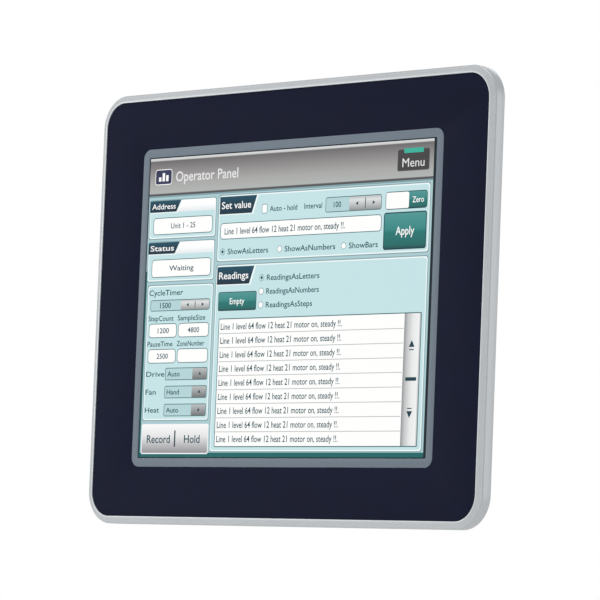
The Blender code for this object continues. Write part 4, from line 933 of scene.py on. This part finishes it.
def addThread(name, radius, pitch, start, end, centre):
    # a helical V thread that runs along Y, with its core
    turns = max(1, int((end - start) / pitch) - 1)
    rise = (end - start) / (turns + 1)
    root = radius - thread["depth"] * rise
    bpy.ops.object.select_all(action="DESELECT")
    bpy.ops.mesh.primitive_plane_add(size=1)
    item = bpy.context.object
    item.name = name
    openForEdit(item, "FACE", lambda face: True)
    bpy.ops.mesh.delete(type="VERT")
    # the ridge's outline, a closed loop so that the wound ridge is a solid
    shape = bmesh.from_edit_mesh(item.data)
    crest, sunk, foot = thread["crest"] * rise / 2, root - thread["sunk"], rise * thread["foot"]
    outline = ((sunk, 0.0), (root, 0.0), (radius, rise / 2 - crest), (radius, rise / 2 + crest), (root, foot),
               (sunk, foot))
    points = [shape.verts.new((across, 0, up)) for across, up in outline]
    for i, point in enumerate(points):
        shape.edges.new((points[i - 1], point))
    bmesh.update_edit_mesh(item.data)
    closeEdit()
    applyModifier(item, "SCREW", axis="Z", angle=2 * math.pi, screw_offset=rise, iterations=turns,
                  steps=thread["steps"], render_steps=thread["steps"])
    openForEdit(item, "EDGE", lambda edge: edge.is_boundary)
    bpy.ops.mesh.fill_holes(sides=0)
    bpy.ops.mesh.select_all(action="SELECT")
    bpy.ops.mesh.normals_make_consistent(inside=False)
    closeEdit()
    item.rotation_euler = (-math.pi / 2, 0, 0)
    item.location = (centre[0], start, centre[2])
    settle(item)
    core = addRound(name, (centre[0], (start + end) / 2, centre[2]), root + thread["lap"], end - start,
                    sides=thread["steps"])
    bevelRims(core, thread["tip"])
    made = joined(name, [item, core])
    smooth(made, 40)
    return made


panHead = {
    "radius": 2.6 * mm,
    "height": 1.5 * mm,
    "crown": 0.9 * mm,  # rounding of the head's top
    "under": 0.1 * mm,
    "shank": 1.5 * mm,
    "pitch": 0.5 * mm,
    "neckSides": 24,
    "recess": (1.43 * mm, 0.338 * mm, 0.975 * mm),  # half length and half width of a slot, and its depth
    "recessTaper": 0.55,
}


def crossRecess(item, centre, face):
    # two crossed slots that taper inwards
    reach, width, depth = panHead["recess"]
    for long, short in ((reach, width), (width, reach)):
        cutter = addBox("cutter", (centre.x - long, face - depth, centre.z - short),
                        (centre.x + long, face + depth, centre.z + short))
        shaped(cutter, "FACE", lambda face: facing(face, 1, -1), bpy.ops.transform.resize,
               value=(panHead["recessTaper"], 1, panHead["recessTaper"]))
        cutOut(item, cutter)


def panScrew(name, node):
    low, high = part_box(node)
    centre = (low + high) / 2
    under = high.y - panHead["height"]
    head = addRound(name, (centre.x, (high.y + under) / 2, centre.z), panHead["radius"], panHead["height"])
    for level, width, segments in ((high.y, panHead["crown"], 5), (under, panHead["under"], 1)):
        bevelEdges(head, lambda edge: all(abs(v.co.y - level) < 0.01 * mm for v in edge.verts),
                   width, segments)
    crossRecess(head, centre, high.y)
    smooth(head, 35)
    turns = addThread(name, panHead["shank"], panHead["pitch"], low.y, under - panHead["under"], centre)
    neck = addRound(name, (centre.x, under, centre.z), panHead["shank"] * thread["neck"],
                    panHead["height"] / 2, sides=panHead["neckSides"])
    placePiece(name, [head, turns, neck], "zinc_screw", node=node)


for kind in ("cover", "housing"):
    for i in (1, 2, 3, 4):
        panScrew(f"{kind}_pan_{i}", f"{kind}_screw_{i}")
for side in ("left", "right"):
    panScrew(f"bracket_pan_{side}", f"bracket_screw_{side}")

clampScrew = {
    "headRadius": 3.6 * mm,
    "headHeight": 4.0 * mm,
    "headEdge": 0.35 * mm,
    "shank": 2.0 * mm,
    "pitch": 0.7 * mm,
    "threadGap": 0.2 * mm,  # between the thread's end and the head
    "neckLength": 1.2 * mm,
    "ribs": 24,
    "ribDepth": 0.22 * mm,
    "barrel": 0.8,  # points past this share of the head's radius belong to its barrel
    "slot": (0.45 * mm, 1.2 * mm),  # half width, depth
}


def knurlTest(vertex, centre):
    # every other column of the barrel's points
    x, z = vertex.co.x - centre.x, vertex.co.z - centre.z
    around = math.atan2(z, x) / math.pi * clampScrew["ribs"]
    return round(around) % 2 == 0 and math.hypot(x, z) > clampScrew["headRadius"] * clampScrew["barrel"]


def buildClampScrew(node, number):
    low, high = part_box(node)
    centre = (low + high) / 2
    radius, neck = clampScrew["headRadius"], high.y - clampScrew["headHeight"]
    head = addRound("clamp_head", (centre.x, (high.y + neck) / 2, centre.z), radius,
                    clampScrew["headHeight"], sides=2 * clampScrew["ribs"])
    bevelRims(head, clampScrew["headEdge"], 2)
    # knurled grip: every other corner of the barrel drawn in
    drawn = 1 - clampScrew["ribDepth"] / radius
    shaped(head, "VERT", lambda vertex: knurlTest(vertex, centre), bpy.ops.transform.resize,
           value=(drawn, 1, drawn), center_override=centre)
    half, deep = clampScrew["slot"]
    cutOut(head, addBox("cutter", (centre.x - 2 * radius, high.y - deep, centre.z - half),
                        (centre.x + 2 * radius, high.y + deep, centre.z + half)))
    smooth(head, 25)
    turns = addThread("clamp_thread", clampScrew["shank"], clampScrew["pitch"], low.y,
                      neck - clampScrew["threadGap"], centre)
    plain = addRound("clamp_neck", (centre.x, neck, centre.z), clampScrew["shank"] * thread["neck"],
                     clampScrew["neckLength"], sides=thread["steps"])
    placePiece(f"clamp_thumbscrew_{number}", [head, turns, plain], "zinc_screw", node, node)


for number in (1, 2, 3, 4):
    buildClampScrew(f"clamp_screw_{number}", number)

print("earth stud")
stud = {
    "shank": 2.0 * mm,
    "pitch": 0.7 * mm,
    "standing": 12.0 * mm,  # over the housing's back
    "washer": (4.5 * mm, 1.0 * mm, 0.8 * mm, 0.2 * mm),  # radius, height, middle over the back, edge
    "nut": (3.6 * mm, 3.2 * mm, 2.9 * mm, 0.25 * mm),
}


def buildEarthStud():
    low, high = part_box("earth_stud")
    centre = (low + high) / 2
    back = high.y - stud["standing"]
    turns = addThread("stud_thread", stud["shank"], stud["pitch"], low.y, high.y, centre)
    radius, height, middle, edge = stud["washer"]
    washer = addRound("stud_washer", (centre.x, back + middle, centre.z), radius, height)
    bevelRims(washer, edge, 2)
    smooth(washer, 35)
    radius, height, middle, edge = stud["nut"]
    nut = addRound("stud_nut", (centre.x, back + middle, centre.z), radius, height, sides=6)
    softenEdges(nut, edge, 3)
    placePiece("stud_and_nut", [turns, washer, nut], "brass_stud", node="earth_stud")


buildEarthStud()

print("connectors")
# gold flash over nickel: warm and bright
gold = surfaceFinish("goldFlash", "D9B45A", "CDA64C", 0.22, metallic=1.0, grain=0.3, bump=0.003)
# tin-dipped copper: soft bright silver
tin = surfaceFinish("tinDip", "C6C8C9", "B7BABC", 0.3, metallic=1.0, grain=0.3, bump=0.004)
# fired ceramic: matt tan
ceramic = surfaceFinish("firedCeramic", "8A7559", "7B674D", 0.5, grain=0.3, bump=0.005)
# enamelled copper wire: red brown with a gloss
copper = surfaceFinish("enamelledCopper", "A8552B", "964A24", 0.3, metallic=1.0, grain=0.4, bump=0.01)
# glass-glazed film: glossy black
resistor = surfaceFinish("glazedFilm", "1B1B1D", "151517", 0.35, grain=0.3, bump=0.003)


def spanBox(origin, one, other):
    # the low and high corner of a box, from two opposite corners in millimetres off an origin
    spans = [sorted(pair) for pair in zip(one, other)]
    return [tuple(start + span[end] * mm for start, span in zip(origin, spans)) for end in (0, 1)]


def boxes(name, places, slotName, soften=0.0, body="panel", material=None):
    # one piece made of boxes, each given by its low and high corner
    made = joined(name, [addBox(name, low, high) for low, high in places])
    if soften:
        softenEdges(made, soften)
    placePiece(name, [made], slotName, body, material=material)


serial = {
    "shell": (17.0 * mm, 8.4 * mm),  # D-shaped: across, and from back to front
    "reach": 5.5 * mm,
    "taper": 0.86,
    "wall": 0.5 * mm,
    "lap": 1.0 * mm,  # of shell and posts into the base
    "mouth": 4.6 * mm,
    "corner": 1.6 * mm,
    "post": (1.9 * mm, 12.5 * mm, 3.0 * mm),  # radius, half spacing, reach
    "postEdge": 0.25 * mm,
    "bore": (1.2 * mm, 4.0 * mm),  # radius, length of the cutter
    "insertGap": (1.1 * mm, 0.65 * mm),  # inside the shell's outside
    "insertBack": 0.4 * mm,  # behind the shell's rim
    "insertCorner": 1.2 * mm,
    "pins": 2.77 * mm,
    "rows": ((-1.42 * mm, 5), (1.42 * mm, 4)),  # place and number of pins
    "hole": (0.75 * mm, 4.0 * mm),
    "sleeve": (0.6 * mm, 3.4 * mm, 2.4 * mm),  # radius, length, middle behind the rim
    "sleeveHollow": (0.2 * mm, 2.0 * mm),  # wall, depth
}


def taperedBox(name, low, high, corner, segments):
    # a D shape: a box narrower at its +Y side, with its long edges rounded
    item = addBox(name, low, high)
    shaped(item, "FACE", lambda face: facing(face, 1, 1), bpy.ops.transform.resize,
           value=(serial["taper"], 1, 1))
    bevelEdges(item, lambda edge: along(edge, 2), corner, segments)
    return item


def buildSerial(number):
    node = f"serial_port_{number}"
    low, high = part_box(node)
    x, y, mouth = (low.x + high.x) / 2, (low.y + high.y) / 2, low.z + serial["reach"]
    across, deep = (size / 2 for size in serial["shell"])
    base = addBox("serial_base", (low.x, low.y, mouth), high)
    softenEdges(base, edges["moulding"], 3)
    shell = taperedBox("serial_shell", (x - across, y - deep, low.z),
                       (x + across, y + deep, mouth + serial["lap"]), serial["corner"], 6)
    insetFaces(shell, lambda face: facing(face, 2, -1), [(serial["wall"], 0.0), (draft, -serial["mouth"])])
    smooth(shell)
    metal = [base, shell]
    radius, spacing, reach = serial["post"]
    for place in (x - spacing, x + spacing):
        post = addRound("jack_post", (place, y, mouth + (serial["lap"] - reach) / 2), radius,
                        reach + serial["lap"], "Z", 6)
        bevelRims(post, serial["postEdge"], 2, "Z")
        bore, length = serial["bore"]
        cutOut(post, addRound("cutter", (place, y, mouth - reach), bore, length, "Z", 24))
        smooth(post)
        metal.append(post)
    placePiece(f"serial_shell_{number}", metal, "bright_steel", node=node)
    # insert with two rows of pin holes, and a sleeve in each hole
    across, deep = (size / 2 - gap for size, gap in zip(serial["shell"], serial["insertGap"]))
    rim = low.z + serial["insertBack"]
    insert = taperedBox("insert", (x - across, y - deep, rim), (x + across, y + deep, mouth),
                        serial["insertCorner"], 5)
    hole, holeLength = serial["hole"]
    radius, length, middle = serial["sleeve"]
    wall, hollow = serial["sleeveHollow"]
    sleeves = []
    for row, count in serial["rows"]:
        for i in range(count):
            place = x + (i - (count - 1) / 2) * serial["pins"]
            cutOut(insert, addRound("cutter", (place, y + row, rim), hole, holeLength, "Z", 20))
            sleeve = addRound("sleeve", (place, y + row, low.z + middle), radius, length, "Z", 20)
            insetFaces(sleeve, lambda face: facing(face, 2, -1), [(wall, 0.0), (draft / 2, -hollow)])
            smooth(sleeve)
            sleeves.append(sleeve)
    smooth(insert)
    placePiece(f"serial_insert_{number}", [insert], "black_socket")
    placePiece(f"serial_contacts_{number}", sleeves, "bright_steel", material=gold)


for number in (1, 2):
    buildSerial(number)

# two opposite corners of each part, off a point of its socket's box. Numbers without a unit are millimetres
sockets = {
    "networkContacts": (8, 1.02),  # number, spacing
    "networkContact": ((-0.2, -4.6, 3.0), (0.2, -4.2, 11.8)),
    "networkMask": ((-5.6, -4.1, 2.2), (5.6, -3.1, 11.9)),
    "usbTongue": ((-5.4, 4.0, 1.2), (5.4, 5.7, 11.9)),
    "usbStrips": (4, 2.3),
    "usbStrip": ((-0.5, 3.85, 1.8), (0.5, 4.02, 11.0)),
    "plugPoles": (3, 5.08),
    "plugScrew": (1.5 * mm, 0.9 * mm, 0.15 * mm),  # radius, height, edge
    "plugScrewPlace": (0, -2.0, -17.6),
    "plugScrewSlot": ((-2.0, -2.0, -17.8), (2.0, 0.0, -17.4)),
    "plugCages": (((-1.4, -4.3, 4.5), (1.4, -4.0, 7.8)), ((-1.4, -1.8, 4.5), (1.4, -1.5, 7.8))),
}


def spread(kind, middle):
    # places of a row of parts, evenly spaced about its middle
    count, spacing = sockets[kind]
    return [middle + (i - (count - 1) / 2) * spacing * mm for i in range(count)]


def buildSockets():
    low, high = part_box("network_port")
    middle = (low.x + high.x) / 2
    boxes("network_contacts", [spanBox((x, high.y, low.z), *sockets["networkContact"])
                               for x in spread("networkContacts", middle)],
          "bright_steel", 0.05 * mm, material=gold)
    boxes("network_mask", [spanBox((middle, high.y, low.z), *sockets["networkMask"])],
          "black_socket", 0.1 * mm)
    low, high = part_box("usb_port")
    mouths = [low.x + (high.x - low.x) * share for share in (0.25, 0.75)]
    boxes("usb_tongues", [spanBox((x, low.y, low.z), *sockets["usbTongue"]) for x in mouths],
          "white_lever", 0.2 * mm)
    boxes("usb_contacts", [spanBox((x, low.y, low.z), *sockets["usbStrip"])
                           for mouth in mouths for x in spread("usbStrips", mouth)],
          "bright_steel", material=gold)
    low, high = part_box("power_plug")
    screws, cages = [], []
    radius, height, edge = sockets["plugScrew"]
    for x in spread("plugPoles", (low.x + high.x) / 2):
        corner = Vector((x, high.y, high.z))
        middle = corner + Vector(sockets["plugScrewPlace"]) * mm
        screw = addRound("plug_screw", middle, radius, height, sides=32)
        bevelRims(screw, edge, 2)
        cutOut(screw, addBox("cutter", *spanBox(corner, *sockets["plugScrewSlot"])))
        smooth(screw)
        screws.append(screw)
        cages += [spanBox((x, (low.y + high.y) / 2, low.z), *cage) for cage in sockets["plugCages"]]
    placePiece("plug_screws", screws, "zinc_screw", "power_plug")
    boxes("plug_wire_cages", cages, "zinc_screw", body="power_plug", material=tin)


buildSockets()

print("circuit boards")
# numbers without a unit are millimetres, off the board's back
driver = {
    "laminate": 1.4,
    "capFoot": 3.2,  # top of the coil's foot
    "capTop": 2.2,  # thickness of the plate over the coil
    "capEdge": 0.3 * mm,
    "turns": (6, 3.45, 0.48),  # number, place of the first, spacing
    "winding": (8.2 * mm, 0.46 * mm, 0.2 * mm),  # radius, height, edge
    "chokes": ((-71, 38), (-60, 38), (-71, -16), (-60, -16)),  # x, z of the middles
    "choke": ((-2.0, 0.02, -2.6), (2.0, 3.0, 2.6)),
    "chokeEdge": 0.25 * mm,
}


def buildDriver():
    # the lamp driver's own board, with a wound coil under a ferrite cap
    node = nodes["backlight_driver"]
    low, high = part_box("backlight_driver")
    tall = [place for place in (node.matrix_world @ v.co for v in node.data.vertices)
            if place.y > high.y - 0.1 * mm]
    top = low.y + driver["laminate"] * mm
    left, right = min(v.x for v in tall), max(v.x for v in tall)
    bottom, upper = min(v.z for v in tall), max(v.z for v in tall)
    board = addBox("driver_laminate", low, (high.x, top, high.z))
    softenEdges(board, edges["board"])
    placePiece("driver_laminate", [board], "green_board", node="backlight_driver")
    boxes("driver_coil_cap", [((left, top, bottom), (right, low.y + driver["capFoot"] * mm, upper)),
                              ((left, high.y - driver["capTop"] * mm, bottom), (right, high.y, upper))],
          "black_chip", driver["capEdge"])
    count, first, spacing = driver["turns"]
    radius, height, edge = driver["winding"]
    turns = []
    for i in range(count):
        place = ((left + right) / 2, low.y + (first + spacing * i) * mm, (bottom + upper) / 2)
        turns.append(addRound("winding", place, radius, height))
        bevelRims(turns[-1], edge, 2)
        smooth(turns[-1], 40)
    placePiece("driver_winding", turns, "brass_stud", material=copper)
    boxes("driver_parts", [spanBox((x * mm, top, z * mm), *driver["choke"]) for x, z in driver["chokes"]],
          "green_board", driver["chokeEdge"], material=ceramic)


# numbers without a unit are millimetres, off the board's face
board = {
    "chips": ((-38, -26), (10, 42), (28, -20), (-5, -28)),  # x, z of the middles
    "chip": ((-5.0, 0.25, -3.9), (5.0, 2.3, 3.9)),
    "chipRoom": (8.0, 7.5),  # kept clear of small parts on either side
    "legs": (7, 1.27),  # number on a side, spacing
    # a leg's shoulder, drop and foot
    "leg": (((-0.2, 1.0, 3.8), (0.2, 1.25, 4.9)), ((-0.2, 0.05, 4.65), (0.2, 1.25, 4.9)),
            ((-0.2, 0.03, 4.7), (0.2, 0.25, 5.6))),
    "rows": 9,
    "columns": 8,
    "firstPart": (-44.0, -50.0),
    "partSpacing": (14.0, 4.2),
    "stagger": 2.0,
    "processorColumns": (2, 3),
    "processorRow": 3,
    "resistor": (1.6, 0.6, 0.85),  # half length over its ends, height, half width
    "capacitor": (1.6, 1.4, 0.9),
    "endShare": 0.68,
    "bodyShare": 0.7,
    "towers": ((-66, -42), (-54, -42), (78, 50), (78, -30)),
    "can": (3.9 * mm, 8.6 * mm, 4.6),  # radius, height, middle
    "canEdge": 0.5 * mm,
    "canTop": (0.3 * mm, -0.15 * mm),
    "canBase": ((-4.2, 0.05, -4.2), (4.2, 0.9, 4.2)),
}


def nearChip(x, z):
    return any(abs(x - chip[0]) < board["chipRoom"][0] and abs(z - chip[1]) < board["chipRoom"][1]
               for chip in board["chips"])


def buildChips(top):
    cases, legs = [], []
    count, spacing = board["legs"]
    for x, z in board["chips"]:
        cases.append(spanBox((x * mm, top, z * mm), *board["chip"]))
        for i in range(count):
            place = ((x + (i - (count - 1) / 2) * spacing) * mm, top, z * mm)
            for side in (-1, 1):
                legs += [spanBox(place, *((a, b, c * side) for a, b, c in corners))
                         for corners in board["leg"]]
    boxes("small_chips", cases, "black_chip", 0.2 * mm)
    boxes("chip_legs", legs, "zinc_screw", material=tin)


def buildSmallParts(top):
    # rows of chip resistors and capacitors, with gaps here and there and under the processor
    found = {"capacitor": [], "resistor": []}
    ends = []
    for row in range(board["rows"]):
        for column in range(board["columns"]):
            x = board["firstPart"][0] + board["partSpacing"][0] * column + board["stagger"] * (row % 3)
            z = board["firstPart"][1] + board["partSpacing"][1] * row
            underProcessor = column in board["processorColumns"] and row > board["processorRow"]
            if (row * 5 + column * 3) % 4 == 0 or underProcessor or nearChip(x, z):
                continue
            kind = "capacitor" if (row + column) % 2 else "resistor"
            long, tall, wide = board[kind]
            place = (x * mm, top, z * mm)
            reach = long * board["bodyShare"]
            found[kind].append(spanBox(place, (-reach, 0.03, -wide), (reach, tall, wide)))
            for side in (-1, 1):
                ends.append(spanBox(place, (side * board["endShare"] * long, 0.02, -wide * 1.02),
                                    (side * long, tall * 1.03, wide * 1.02)))
    boxes("chip_capacitors", found["capacitor"], "green_board", material=ceramic)
    boxes("chip_resistors", found["resistor"], "green_board", material=resistor)
    boxes("solder_ends", ends, "zinc_screw", material=tin)


def buildCans(top):
    cans, bases = [], []
    radius, height, middle = board["can"]
    for x, z in board["towers"]:
        can = addRound("can", (x * mm, top + middle * mm, z * mm), radius, height, sides=40)
        bevelRims(can, board["canEdge"], 3)
        insetFaces(can, lambda face: facing(face, 1, 1), [board["canTop"]])
        smooth(can)
        cans.append(can)
        bases.append(spanBox((x * mm, top, z * mm), *board["canBase"]))
    placePiece("electrolytic_cans", cans, "bright_steel")
    boxes("can_bases", bases, "black_socket", edges["moulding"])


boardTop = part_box("main_board")[1].y
buildDriver()
buildChips(boardTop)
buildSmallParts(boardTop)
buildCans(boardTop)
